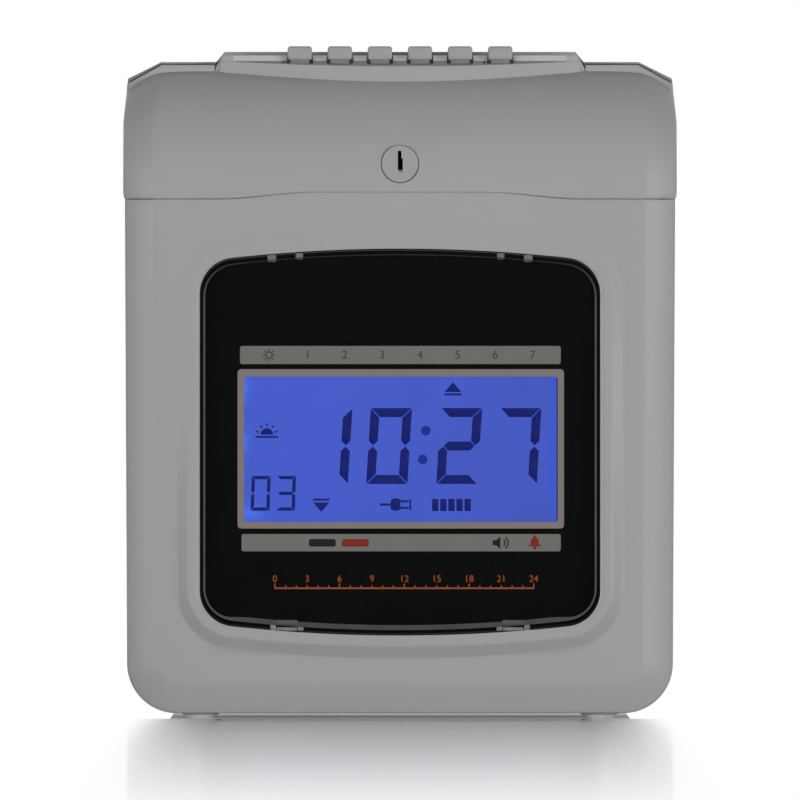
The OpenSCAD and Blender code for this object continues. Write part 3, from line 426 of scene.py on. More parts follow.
def at_depth(outline: Array, y: float) -> Array:
    """Return the places of an outline of x and z at one depth."""
    return np.stack([outline[:, 0], np.full(len(outline), y), outline[:, 1]], axis=1)


def rounded_outline(half_w: float, z0: float, z1: float, r: float, arc: int = 12,
                    run: int = 24) -> Array:
    """Return a closed outline of a rectangle whose corners are quarter circles.

    Args:
        half_w: half the width.
        z0: the lower edge.
        z1: the upper edge.
        r: the corner radius.
        arc: points in a corner.
        run: points along an edge.

    Returns:
        The outline, a place of x and z a row.
    """
    turn = np.linspace(0, math.pi / 2, arc)
    pts = []
    for k, (cx, cz) in enumerate([(half_w - r, z0 + r), (half_w - r, z1 - r),
                                  (-half_w + r, z1 - r), (-half_w + r, z0 + r)]):
        a = turn + (k - 1) * math.pi / 2
        pts.append(np.stack([cx + r * np.cos(a), cz + r * np.sin(a)], axis=1))
    rings = []
    for k in range(4):
        start, end = pts[k][-1], pts[(k + 1) % 4][0]
        t = np.linspace(0, 1, run + 2)[1:-1, None]
        rings += [pts[k], start + (end - start) * t]
    return np.concatenate(rings)


def loft(name: str, rings: Sequence[Array]) -> Piece:
    """Join closed rings of places, equal in number, one after another and close both ends.

    Args:
        name: the piece's name.
        rings: the rings, first to last.

    Returns:
        The piece.
    """
    n = len(rings[0])
    points = np.concatenate(rings)
    quads = grid_quads(len(rings), n, wrap_cols=True)
    ends = [np.arange(n)[::-1], np.arange(n) + (len(rings) - 1) * n]
    return tidy_mesh(link_mesh(name, points, quads, ends))


def plate(name: str, outline: Array, y0: float, y1: float, rounding: float,
          steps: int = 3) -> Piece:
    """Make a plate from an outline of x and z between two depths, its edges rounded.

    The rounding draws each ring in towards the outline's middle by r * (1 - sin a) as the
    depth goes round a quarter circle.

    Args:
        name: the piece's name.
        outline: the closed outline.
        y0: the front depth.
        y1: the rear depth.
        rounding: radius of the front and rear edges.
        steps: steps in a rounded edge.

    Returns:
        The piece.
    """
    mid = (outline.max(axis=0) + outline.min(axis=0)) / 2
    half = (outline.max(axis=0) - outline.min(axis=0)) / 2

    def ring(depth: float, t: float) -> Array:
        """The outline at an angle t round the edge."""
        return at_depth(mid + (outline - mid) * (1 - rounding * (1 - math.cos(t)) / half), depth)

    a = np.linspace(0, math.pi / 2, steps + 1)
    front = [ring(y0 + rounding * (1 - math.sin(t)), t) for t in a[::-1]]
    back = [ring(y1 - rounding * (1 - math.sin(t)), t) for t in a]
    return loft(name, front + back)


def soft_box(name: str, low: Sequence[float], high: Sequence[float], r: float,
             steps: int = 3) -> Piece:
    """Make a box with round edges: a rounded outline of x and y, rounded again up z.

    Args:
        name: the piece's name.
        low: the lowest corner in millimetres.
        high: the highest corner.
        r: the radius of the edges.
        steps: steps in a rounded edge.

    Returns:
        The piece.
    """
    lo, hi = np.array(low, float), np.array(high, float)
    r = min(r, *(0.49 * (hi - lo)))
    rings = []
    a = np.linspace(0, math.pi / 2, steps + 1)
    for t, z in ([(t, lo[2] + r * (1 - math.cos(t))) for t in a]
                 + [(t, hi[2] - r * (1 - math.cos(t))) for t in a[::-1]]):
        inset = r * (1 - math.sin(t))
        outline = rounded_outline((hi[0] - lo[0]) / 2 - inset, lo[1] + inset, hi[1] - inset,
                                  max(r - inset, 0.05 * r), arc=steps + 1, run=1)
        rings.append(np.stack([outline[:, 0] + (lo[0] + hi[0]) / 2, outline[:, 1],
                               np.full(len(outline), z)], axis=1))
    return loft(name, rings)


def lathe(name: str, profile: Sequence[tuple[float, float]], centre: Sequence[float],
          axis: str, sides: int = 48) -> Piece:
    """Turn a profile of (radius, place along the axis) about an axis.

    Args:
        name: the piece's name.
        profile: points from one end of the axis to the other, or back to the first.
        centre: a place on the axis; its own coordinate along the axis is added.
        axis: "X", "Y" or "Z".
        sides: steps round the axis.

    Returns:
        The piece.
    """
    prof = np.array(profile, float)
    a = np.linspace(0, 2 * math.pi, sides, endpoint=False)
    radius, along = prof[:, 0][:, None], np.repeat(prof[:, 1][:, None], sides, axis=1)
    u, v = radius * np.cos(a)[None, :], radius * np.sin(a)[None, :]
    order = {"X": (along, u, v), "Y": (v, along, u), "Z": (u, v, along)}[axis]
    points = np.stack(order, axis=-1).reshape(-1, 3) + np.array(centre, float)
    quads = grid_quads(len(prof), sides, wrap_cols=True)
    closed = bool(np.allclose(prof[0], prof[-1]))
    ends = [] if closed else [np.arange(sides)[::-1], np.arange(sides) + (len(prof) - 1) * sides]
    return tidy_mesh(link_mesh(name, points, quads, ends))


def polygon_solid(name: str, outlines: Sequence[Array], y0: float, y1: float) -> Piece:
    """Make thin flat solids between two depths from closed outlines of x and z.

    Args:
        name: the piece's name.
        outlines: one closed outline for each solid, which may be concave.
        y0: the front depth.
        y1: the rear depth.

    Returns:
        The piece.
    """
    points, quads, caps, start = [], [], [], 0
    for outline in outlines:
        n = len(outline)
        points += [at_depth(outline, depth) for depth in (y0, y1)]
        quads.append(grid_quads(2, n, wrap_cols=True) + start)
        caps += [np.arange(n)[::-1] + start, np.arange(n) + n + start]
        start += 2 * n
    obj = link_mesh(name, np.concatenate(points), np.concatenate(quads), caps, shade=False)
    with editing(obj) as bm:
        bmesh.ops.recalc_face_normals(bm, faces=bm.faces)
    return obj


def prism(name: str, outline: Sequence[tuple[float, float]], low: float, high: float,
          axis: str) -> Piece:
    """Make a closed prism along X or Z from an outline of the two other axes."""
    flat = np.array(outline, float)
    order = {"X": (2, 0, 1), "Z": (0, 1, 2)}[axis]
    return loft(name, [np.column_stack([flat, np.full(len(flat), end)])[:, order]
                       for end in (low, high)])


def rectangle(x0: float, x1: float, z0: float, z1: float, r: float = 0.0) -> Array:
    """Return the closed outline of a rectangle of x and z with round corners."""
    if r <= 0:
        return np.array([(x0, z0), (x1, z0), (x1, z1), (x0, z1)], float)
    outline = rounded_outline((x1 - x0) / 2, z0, z1, r, arc=5, run=0)
    outline[:, 0] += (x0 + x1) / 2
    return outline


def disc(x: float, z: float, r: float, sides: int = 24) -> Array:
    """Return the outline of a round spot."""
    a = np.linspace(0, 2 * math.pi, sides, endpoint=False)
    return np.stack([x + r * np.cos(a), z + r * np.sin(a)], axis=1)


def stroke(points: Sequence[tuple[float, float]], width: float) -> list[Array]:
    """Return a flat bar for each step of a path.

    Args:
        points: the path.
        width: the bars' width.

    Returns:
        The bars' outlines.
    """
    pts = np.array(points, float)
    bars = []
    for a, b in zip(pts[:-1], pts[1:]):
        run = (b - a) / max(float(np.hypot(*(b - a))), 1e-9)
        side = np.array([-run[1], run[0]]) * width / 2
        bars.append(np.array([a - side, b - side, b + side, a + side]))
    return bars


def cad_copy(node: str, rounding: float = 0.25, name: Optional[str] = None,
             angle: float = 40.0) -> Piece:
    """Copy a CAD node's mesh, merge its doubled points and round its edges.

    Args:
        node: the CAD node.
        rounding: the width of the rounded edges in millimetres, 0 to leave them.
        name: the new piece's name, the node's own with "_body" if left out.
        angle: edges sharper than this are rounded, in degrees.

    Returns:
        The copy.
    """
    source = frame["nodes"][node]
    piece = link(name or f"{node}_body", source.data.copy())
    piece.data.materials.clear()
    stored = piece.data.attributes.get("custom_normal")
    if stored is not None:
        piece.data.attributes.remove(stored)
    piece.data.transform(source.matrix_world)
    tidy_mesh(piece, outwards=False)
    if rounding > 0:
        bevel(piece, rounding, angle)
    return weigh_normals(piece)


def inner_copy(node: str, name: str, volumes: Sequence[Piece]) -> Piece:
    """Keep what a CAD node's form holds inside some volumes, as one piece."""
    kept = [cut(cad_copy(node, 0.0, f"{name}_{k}"), [volume], "INTERSECT")
            for k, volume in enumerate(volumes)]
    return tidy_mesh(join(name, kept), outwards=False)


class Graph:
    """A short way of writing the nodes of a material."""

    def __init__(self, name: str) -> None:
        """Start a material with its surface shader and object coordinates."""
        self.material = bpy.data.materials.new(name)
        self.material.use_nodes = True
        self.tree = self.material.node_tree
        self.shader = self.tree.nodes["Principled BSDF"]
        self.place = self.tree.nodes.new("ShaderNodeTexCoord").outputs["Object"]

    def node(self, kind: str, **inputs: object) -> bpy.types.Node:
        """Add a node; inputs by socket name, with underscores for blanks."""
        made = self.tree.nodes.new(kind)
        for key, value in inputs.items():
            self.feed(made.inputs[key.replace("_", " ")], value)
        return made

    def feed(self, socket: Socket, value: object) -> None:
        """Link an output to a socket or set its value."""
        if isinstance(value, Socket):
            self.tree.links.new(value, socket)
        else:
            socket.default_value = value

    def surface(self, **values: object) -> None:
        """Feed the surface shader's sockets, named with underscores for blanks."""
        for key, value in values.items():
            self.feed(self.shader.inputs[key.replace("_", " ")], value)

    def math(self, operation: str, a: object, b: object = 0.0,
             clamp: bool = False) -> Socket:
        """One step of arithmetic."""
        made = self.tree.nodes.new("ShaderNodeMath")
        made.operation = operation
        made.use_clamp = clamp
        self.feed(made.inputs[0], a)
        self.feed(made.inputs[1], b)
        return made.outputs[0]

    def linear(self, value: object, factor: float, offset: float) -> Socket:
        """A value times a factor plus an offset."""
        made = self.math("MULTIPLY_ADD", value, factor)
        made.node.inputs[2].default_value = offset
        return made

    def axes(self) -> bpy.types.Node:
        """Split the object coordinates into X, Y and Z."""
        return self.node("ShaderNodeSeparateXYZ", Vector=self.place)

    def scaled(self, sizes_mm: Sequence[float]) -> Socket:
        """The object coordinates over a size in millimetres along each axis."""
        made = self.node("ShaderNodeVectorMath", Vector=self.place)
        made.operation = "MULTIPLY"
        made.inputs[1].default_value = [1 / (size * MM) for size in sizes_mm]
        return made.outputs[0]

    def noise(self, size_mm: float, detail: float = 2.0,
              stretch: Sequence[float] = (1, 1, 1)) -> Socket:
        """Noise whose spots are about a given size."""
        made = self.node("ShaderNodeTexNoise", Scale=1.0, Detail=detail,
                         Vector=self.scaled([size_mm / s for s in stretch]))
        return made.outputs["Fac"]

    def blend(self, factor: object, a: object, b: object) -> Socket:
        """Mix two colours."""
        made = self.tree.nodes.new("ShaderNodeMix")
        made.data_type = "RGBA"
        self.feed(made.inputs["Factor"], factor)
        self.feed(made.inputs["A"], a)
        self.feed(made.inputs["B"], b)
        return made.outputs["Result"]

    def bump(self, height: object, depth_mm: float) -> None:
        """Feed a height to the shader's normal."""
        made = self.node("ShaderNodeBump", Height=height, Distance=depth_mm * MM, Strength=1.0)
        self.surface(Normal=made.outputs["Normal"])

    def join(self, kind: str, first: object, second: object,
             factor: object = None) -> Socket:
        """Add or mix two shaders."""
        made = self.node(f"ShaderNode{kind}Shader")
        if factor is not None:
            self.feed(made.inputs[0], factor)
        self.feed(made.inputs[-2], first)
        self.feed(made.inputs[-1], second)
        return made.outputs[0]


def opaque(colour: Sequence[float], factor: float = 1.0) -> tuple[float, ...]:
    """A colour times a factor, at most 1, with full opacity."""
    return (*[min(c * factor, 1.0) for c in colour], 1.0)


@dataclass(frozen=True)
class Finish:
    """A procedural finish: its tone, how much the tone drifts, its grain and its gloss.

    Attributes:
        name: the material's name.
        colour: linear colour.
        rough: roughness.
        metal: 1 for bare metal.
        gloss: specular level.
        drift: how far the tone varies over large patches, as a share.
        drift_mm: the size of those patches.
        grain_mm: the size of the surface grain.
        grain_depth: the depth of the grain in millimetres.
        stretch: how the noise is drawn out along X, Y and Z; under 1 is longer.
        alpha: opacity.
    """

    name: str
    colour: tuple[float, float, float]
    rough: float = 0.5
    metal: float = 0.0
    gloss: float = 0.5
    drift: float = 0.04
    drift_mm: float = 14.0
    grain_mm: float = 0.45
    grain_depth: float = 0.004
    stretch: tuple[float, float, float] = (1.0, 1.0, 1.0)
    alpha: float = 1.0

    def make(self) -> bpy.types.Material:
        """Build the material."""
        g = Graph(self.name)
        patch = g.noise(self.drift_mm, 3.0, self.stretch)
        wide = g.math("ADD", g.linear(patch, 2.2, -0.6), 0.0, clamp=True)
        grain = g.noise(self.grain_mm, 2.0, self.stretch)
        g.surface(Base_Color=g.blend(wide, opaque(self.colour, 1 - self.drift),
                                     opaque(self.colour, 1 + self.drift)),
                  Roughness=g.linear(grain, 0.08, self.rough - 0.04), Metallic=self.metal,
                  Specular_IOR_Level=self.gloss, Alpha=self.alpha)
        g.bump(grain, self.grain_depth)
        return g.material


@dataclass(frozen=True)
class Glow:
    """A finish that shines by itself in its own colour: the lit glass's signs, and painted light on
    the prints.
        colour: linear colour.
        strength: how much of it shines by itself.
        drift: how far the light varies, as a share.
    """

    name: str
    colour: tuple[float, float, float]
    strength: float = 1.0
    drift: float = 0.05

    def make(self) -> bpy.types.Material:
        """Build the material."""
        g = Graph(self.name)
        tone = g.blend(g.noise(6.0, 2.0), opaque(self.colour, 1 - self.drift),
                       opaque(self.colour, 1 + self.drift))
        g.surface(Base_Color=PRINT_BASE, Specular_IOR_Level=0.05, Roughness=0.6,
                  Emission_Color=tone, Emission_Strength=self.strength)
        return g.material


GREY = (0.318, 0.318, 0.314)
PRINT_BASE = (0.004, 0.004, 0.004, 1.0)
WHITE = (1.0, 1.0, 1.0, 1.0)


class Kit(Enum):
    """The finishes used on the object."""

    SHELL = Finish("shell_grey", GREY, rough=0.46, gloss=0.25, drift=0.012, drift_mm=60.0,
                   grain_mm=0.5, grain_depth=0.006)
    HOOD = replace(SHELL, name="hood_grey")
    BACK = replace(SHELL, name="back_grey", rough=0.48, gloss=0.4, drift=0.015)
    # painted light: a lighter grey on the collar's riser between the keys
    RISER = Finish("riser_painted_light", (0.43, 0.43, 0.425), rough=0.46, gloss=0.25, drift=0.012)
    # painted shade: a darker grey on the collar's slope before the keys
    SLOPE = Finish("slope_painted_shade", (0.228, 0.228, 0.225), rough=0.46, gloss=0.25, drift=0.012)
    KEY = Finish("key_grey", (0.30, 0.30, 0.297), rough=0.42, gloss=0.3, drift=0.02,
                 drift_mm=20.0, grain_mm=0.4, grain_depth=0.004)
    # painted shade: the dark grey of the key skirts under their caps, the ring in the lock's gap
    # and the keyway's foot
    SKIRT = Finish("painted_shade_grey", (0.16, 0.16, 0.16), rough=0.5, gloss=0.4, drift=0.02)
    LOCK = Finish("lock_grey", (0.289, 0.289, 0.286), rough=0.42, gloss=0.45, drift=0.015,
                  grain_depth=0.003)
    # painted shade: near black inside the lock's keyway
    KEYWAY = Finish("keyway_painted_shade", (0.004, 0.004, 0.004), rough=0.7, gloss=0.05, drift=0.1)
    # painted shadow: the dark strip in the gap between the hood and the rear housing
    SLOT = Finish("gap_painted_shadow", (0.085, 0.085, 0.085), rough=0.6, gloss=0.2, drift=0.05)
    MASK = Finish("mask_black", (0.0022, 0.0022, 0.0024), rough=0.35, gloss=0.02, drift=0.1,
                  grain_depth=0.001)
    LENS = Finish("lens_clear", (0.02, 0.02, 0.022), rough=0.12, gloss=0.02, drift=0.02,
                  grain_mm=4.0, grain_depth=0.0004, alpha=0.05)
    CLIP_DARK = Finish("clip_dark", (0.075, 0.07, 0.07), rough=0.4, gloss=0.2, drift=0.05)
    CLIP_PALE = Finish("clip_post", (0.21, 0.195, 0.19), rough=0.4, gloss=0.2, drift=0.35,
                       drift_mm=1.6)
    CLIP = Finish("clip_pale", (0.16, 0.135, 0.13), rough=0.4, gloss=0.2, drift=0.05)
    FOOT = Finish("foot_pale", (0.60, 0.60, 0.593), rough=0.75, gloss=0.25, drift=0.04,
                  drift_mm=6.0, grain_mm=0.6, grain_depth=0.01)
    RUBBER = Finish("rubber_dark", (0.035, 0.035, 0.035), rough=0.85, gloss=0.25, drift=0.06,
                    grain_mm=0.7, grain_depth=0.012)
    ZINC = Finish("zinc_plate", (0.60, 0.61, 0.62), rough=0.38, metal=1.0, drift=0.06,
                  drift_mm=9.0, grain_mm=0.8, grain_depth=0.003, stretch=(1.0, 1.0, 0.15))
    STEEL = Finish("turned_steel", (0.56, 0.56, 0.57), rough=0.25, metal=1.0, drift=0.04,
                   drift_mm=5.0, grain_mm=0.3, grain_depth=0.002, stretch=(0.2, 1.0, 1.0))
    MOTOR = Finish("motor_can", (0.36, 0.37, 0.39), rough=0.34, metal=1.0, drift=0.05,
                   drift_mm=8.0, grain_depth=0.002)
    BLACK = Finish("black_moulding", (0.022, 0.022, 0.024), rough=0.48, gloss=0.4, drift=0.08,
                   grain_mm=0.4, grain_depth=0.006)
    PALE = Finish("pale_moulding", (0.60, 0.59, 0.55), rough=0.5, gloss=0.4, drift=0.03,
                  grain_depth=0.004)
    GUIDE = Finish("light_guide", (0.82, 0.84, 0.90), rough=0.35, gloss=0.4, drift=0.03)
    RIBBON = Finish("ink_ribbon", (0.012, 0.012, 0.02), rough=0.8, gloss=0.15, drift=0.15,
                    grain_mm=0.35, grain_depth=0.012)
    IRON = Finish("core_iron", (0.10, 0.10, 0.105), rough=0.55, metal=0.6, drift=0.08,
                  drift_mm=6.0, grain_mm=0.5, grain_depth=0.01, stretch=(1.0, 0.1, 1.0))
    CELLS = Finish("cell_sleeve", (0.05, 0.16, 0.07), rough=0.4, gloss=0.5, drift=0.06)
    BRASS = Finish("brass", (0.62, 0.46, 0.20), rough=0.3, metal=1.0, drift=0.05, drift_mm=5.0,
                   grain_depth=0.002)
    BLUE_KEY = Finish("set_key_slate", (0.11, 0.125, 0.15), rough=0.45, gloss=0.4, drift=0.04)
    BELT = Finish("belt_black", (0.018, 0.018, 0.018), rough=0.75, gloss=0.25, drift=0.06,
                  grain_mm=0.6, grain_depth=0.02)
    # the prints below shine by themselves: painted light; the digits sit on the lit glass
    STRIP = Glow("strip_print", (0.155, 0.155, 0.143), 1.0, 0.05)
    BORDER = Glow("border_print", (0.205, 0.180, 0.170), 1.0, 0.04)
    LABEL = Glow("label_print", (0.085, 0.030, 0.022), 1.0, 0.08)
    INK = Glow("ink_print", (0.012, 0.012, 0.014), 1.0, 0.05)
    RED = Glow("red_print", (0.20, 0.020, 0.014), 1.0, 0.06)
    ORANGE = Glow("orange_print", (0.290, 0.072, 0.020), 1.0, 0.08)
    DIGIT = Glow("digit_navy", (0.0056, 0.0123, 0.152), 1.0, 0.06)
    FAINT = Glow("digit_faint", (0.0106, 0.030, 0.290), 1.0, 0.06)

    @property
    def material(self) -> bpy.types.Material:
        """The material of this finish, built on its first use."""
        return bpy.data.materials.get(self.value.name) or self.value.make()


def board_material() -> bpy.types.Material:
    """Green circuit board: tracks as bands of the distance to scattered cells."""
    g = Graph("board_green")
    cells = g.node("ShaderNodeTexVoronoi", Vector=g.scaled((3.0, 2.1, 2.4)), Scale=1.0,
                   Randomness=0.35)
    cells.distance = "MANHATTAN"
    track = g.math("GREATER_THAN", g.math("SINE", g.math("MULTIPLY", cells.outputs["Distance"],
                                                        16.0)), 0.72)
    tone = g.blend(track, (0.012, 0.110, 0.040, 1), (0.050, 0.200, 0.075, 1))
    g.surface(Base_Color=tone, Roughness=0.32)
    g.bump(track, 0.03)
    return g.material


# x, z, reach along x, reach along z and power of each lamp behind the glass, in millimetres
SCREEN_LAMPS = ((0.3, 119.4, 1.7, 3.1, 0.85), (0.3, 114.2, 1.6, 1.2, 0.4),
                (0.3, 99.8, 1.7, 3.7, 0.8), (2.2, 74.2, 4.6, 2.8, 0.75))


def screen_material(x_half: float) -> bpy.types.Material:
    """Blue lit glass: dimmer towards the right, with lamps showing along the left edge.

    The light is a base that falls off evenly over x, plus, for each lamp,
    exp(-(dx / reach_x)^2 - (dz / reach_z)^2), and a narrow band of the same kind along the
    right edge.

    Args:
        x_half: half the width of the glass in millimetres.

    Returns:
        The material.
    """
    g = Graph("screen_blue")
    axes = g.axes()
    x_mm, z_mm = (g.math("DIVIDE", axes.outputs[k], MM) for k in ("X", "Z"))

    def falls(value: object, middle: float, reach: float) -> Socket:
        """The square of a distance over its reach."""
        return g.math("POWER", g.math("ABSOLUTE", g.math(
            "DIVIDE", g.math("SUBTRACT", value, middle), reach)), 2.0)

    glow: object = 0.0
    for lamp_x, lamp_z, reach_x, reach_z, power in SCREEN_LAMPS:
        far = g.math("ADD", falls(x_mm, lamp_x - x_half, reach_x), falls(z_mm, lamp_z, reach_z))
        spot = g.math("MULTIPLY", g.math("EXPONENT", g.math("MULTIPLY", far, -1.0)), power)
        glow = g.math("ADD", glow, spot)
    edge = g.math("MULTIPLY", falls(x_mm, x_half - 1.0, 1.3), -1.0)
    across = g.math("DIVIDE", g.math("ADD", x_mm, 0.45 * x_half), 1.3 * x_half, clamp=True)
    base = g.blend(across, (0.0612, 0.107, 0.600, 1), (0.0545, 0.0908, 0.470, 1))
    cloud = g.blend(g.noise(22.0, 2.0), base, (0.066, 0.116, 0.630, 1))
    edged = g.blend(g.math("MULTIPLY", g.math("EXPONENT", edge), 0.9), cloud,
                    (0.046, 0.104, 0.650, 1))
    lit = g.blend(g.math("ADD", glow, 0.0, clamp=True), edged, (0.085, 0.190, 0.950, 1))
    g.surface(Emission_Color=lit, Emission_Strength=1.0, Base_Color=(0.004, 0.006, 0.03, 1.0),
              Specular_IOR_Level=0.05, Roughness=0.3)
    return g.material


def edge_material(name: str, tones: Sequence[tuple[float, float]]) -> bpy.types.Material:
    """The light caught by a clear edge, by height.

    Args:
        name: the material's name.
        tones: heights in millimetres with their brightness, lowest first; the tone goes
            evenly from one to the next.

    Returns:
        The material.
    """
    g = Graph(name)
    z_mm = g.math("DIVIDE", g.axes().outputs["Z"], MM)
    tone: object = tones[0][1]
    for (z0, a), (z1, b) in zip(tones[:-1], tones[1:]):
        share = g.math("DIVIDE", g.math("SUBTRACT", z_mm, z0), z1 - z0, clamp=True)
        tone = g.math("ADD", tone, g.math("MULTIPLY", share, b - a))
    spots = g.linear(g.noise(5.0, 2.0), 0.5, 0.75)
    g.surface(Emission_Strength=g.math("MULTIPLY", tone, spots), Base_Color=PRINT_BASE,
              Emission_Color=(1.0, 0.98, 0.98, 1.0), Specular_IOR_Level=0.05)
    return g.material


def place(piece: Piece, finish: "Kit | bpy.types.Material", body: str,
          node: Optional[str] = None) -> Piece:
    """Paint a piece, let it ride on a body and hide the CAD node that it stands for.

    Args:
        piece: the piece.
        finish: its finish.
        body: the CAD body that it moves with.
        node: the CAD node that it stands for, if it stands for one.

    Returns:
        The same piece.
    """
    if not piece.data.materials:
        piece.data.materials.append(finish.material if isinstance(finish, Kit) else finish)
    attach(piece, body)
    if node is not None:
        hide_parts(node)
    LOG.info("%s: %d faces on %s", piece.name, len(piece.data.polygons), body)
    return piece


@dataclass
class Flank:
    """How the front face falls away at the sides: a gentle turn, a crease and a facet.

    Attributes:
        gentle_tilt: tilt at the outer end of the gentle turn, in degrees.
        gentle_w: its width.
        round_l: length of the small round between the facet and the side wall.
        facet_l: length of the facet.
        facet_tilt: tilt at the facet's outer and inner end.
    """

    gentle_tilt: float = 5.0
    gentle_w: float = 14.0
    round_l: float = 2.4
    facet_l: float = 11.6
    facet_tilt: tuple[float, float] = (38.0, 20.0)

    def profile(self) -> tuple[Array, Array]:
        """Inward distance and depth of the facet from the side wall to the crease."""
        return turned_profile([(self.round_l, 90.0, self.facet_tilt[0]),
                               (self.facet_l, *self.facet_tilt)], 1.0)

    @property
    def crease(self) -> float:
        """Distance of the crease from the side wall."""
        return float(self.profile()[0][-1])

    def gentle(self, w: Array) -> Array:
        """Depth of the gentle turn: a parabola from the crease inwards, constant outside it."""
        t = np.clip((self.crease + self.gentle_w - w) / self.gentle_w, 0, 1)
        return math.tan(math.radians(self.gentle_tilt)) * self.gentle_w / 2 * t * t

    def depth(self, w: Array) -> Array:
        """Depth of the whole flank over the distance from the side wall."""
        across, rise = self.profile()
        return np.interp(w, across, rise) + self.gentle(w)


FLANK = Flank()


@dataclass
class WindowFrame:
    """The opening of the display and the swell round its lower part, in millimetres.

    The sides are straight, the top and bottom are arcs of a large circle, and a small
    circle in each corner touches both.

    Attributes:
        half_w: half the width.
        z0: the lower edge, at the middle.
        height: the height at the middle.
        r: the corner radius.
        bow: how far the arcs stand out over the half width.
        swell_flat: distance from the opening where the swell's slope begins.
        swell_end: distance where it meets the face.
        swell_ease: length of the round at either end of the slope.
        swell_top: height where the swell has faded out.
        swell_run: height over which it fades.
        lip: radius of the opening's edge at the top and bottom and at the sides.
    """

    half_w: float = 72.3
    z0: float = float(corner("display_lens", False)[2]) - 0.4
    height: float = 139.6
    r: float = 13.0
    bow: float = 4.7
    swell_flat: float = 3.6
    swell_end: float = 8.7
    swell_ease: float = 0.8
    swell_top: float = 225.0
    swell_run: float = 190.0
    lip: tuple[float, float] = (0.3, 1.7)

    @property
    def centre(self) -> Array:
        """The middle of the opening, as x and z."""
        return np.array([0.0, self.z0 + self.height / 2])

    @property
    def bow_r(self) -> float:
        """The radius of the top and bottom arcs."""
        return (self.half_w ** 2 + self.bow ** 2) / (2 * self.bow)

    @property
    def turn(self) -> tuple[float, float, float]:
        """The corner circle's x and z from the middle, and the arc's lean where they touch."""
        x = self.half_w - self.r
        lean = math.asin(x / (self.bow_r - self.r))
        return x, self.height / 2 - self.bow_r + (self.bow_r - self.r) * math.cos(lean), lean

    def outline(self, inset: float = 0.0, dense: int = 1) -> Array:
        """The opening's closed outline, drawn in by an inset.

        Args:
            inset: how far it is drawn in.
            dense: how many times more points.

        Returns:
            The outline, a place of x and z a row.
        """
        x_c, z_c, lean = self.turn
        side = np.linspace(0, z_c, 20 * dense)[:-1]
        a = np.linspace(0, math.pi / 2 - lean, 12 * dense)
        b = np.linspace(lean, 0, 30 * dense)[1:]
        round_r, arc_r = self.r - inset, self.bow_r - inset
        quarter = np.concatenate([
            np.stack([np.full(len(side), self.half_w - inset), side], axis=1),
            np.stack([x_c + round_r * np.cos(a), z_c + round_r * np.sin(a)], axis=1),
            np.stack([arc_r * np.sin(b), self.height / 2 - self.bow_r + arc_r * np.cos(b)],
                     axis=1)])
        left, low, right = (np.array(s) for s in ((-1, 1), (-1, -1), (1, -1)))
        return self.centre + np.concatenate([quarter, (quarter * left)[::-1][1:],
                                             (quarter * low)[1:], (quarter * right)[::-1][1:-1]])

    def distance(self, x: Array, z: Array) -> Array:
        """Distance from the opening, 0 inside it: that from its outline drawn in by r, less r."""
        x_c, z_c, lean = self.turn
        x, z = np.abs(x), np.abs(z - self.centre[1])
        arc = np.hypot(x, z - self.height / 2 + self.bow_r) - (self.bow_r - self.r)
        beside = (z > z_c) & (x > x_c + (z - z_c) * math.tan(lean))
        core = np.where(beside, np.hypot(x - x_c, z - z_c), np.maximum(arc, x - x_c))
        return np.maximum(core - self.r, 0)

    def swell(self, x: Array, z: Array) -> Array:
        """How far the swell stands out: an even slope with eased ends, faded out up the sides.

        The slope is the running mean of a straight ramp, so both ends are parabolas of
        the ease's length.

        Args:
            x: places on the face.
            z: their heights.

        Returns:
            The distance before the face.
        """
        away, ease = self.distance(x, z), self.swell_ease / 2
        low, high = self.swell_flat + ease, self.swell_end - ease
        grid = np.linspace(0, self.swell_end + 1, 400)
        ramp = np.clip((high - grid) / (high - low), 0, 1)
        width = max(1, int(2 * ease / (grid[1] - grid[0])))
        padded = np.pad(ramp, width, mode="edge")
        eased = np.convolve(padded, np.ones(width) / width, mode="same")[width:-width]
        return (CASE.swell * np.interp(away, grid, eased)
                * smooth((self.swell_top - z) / self.swell_run))

    def edge(self, x: Array, z: Array) -> Array:
        """Depth of the opening's rounded edge: a quarter circle whose radius grows at the sides."""
        x_c, _, _ = self.turn
        share = np.clip((np.abs(x) - x_c) / self.r, 0, 1) ** 2
        radius = self.lip[0] + (self.lip[1] - self.lip[0]) * share
        t = np.clip(1 - self.distance(x, z) / radius, 0, 1)
        return radius * (1 - np.sqrt(1 - t * t))


WINDOW = WindowFrame()


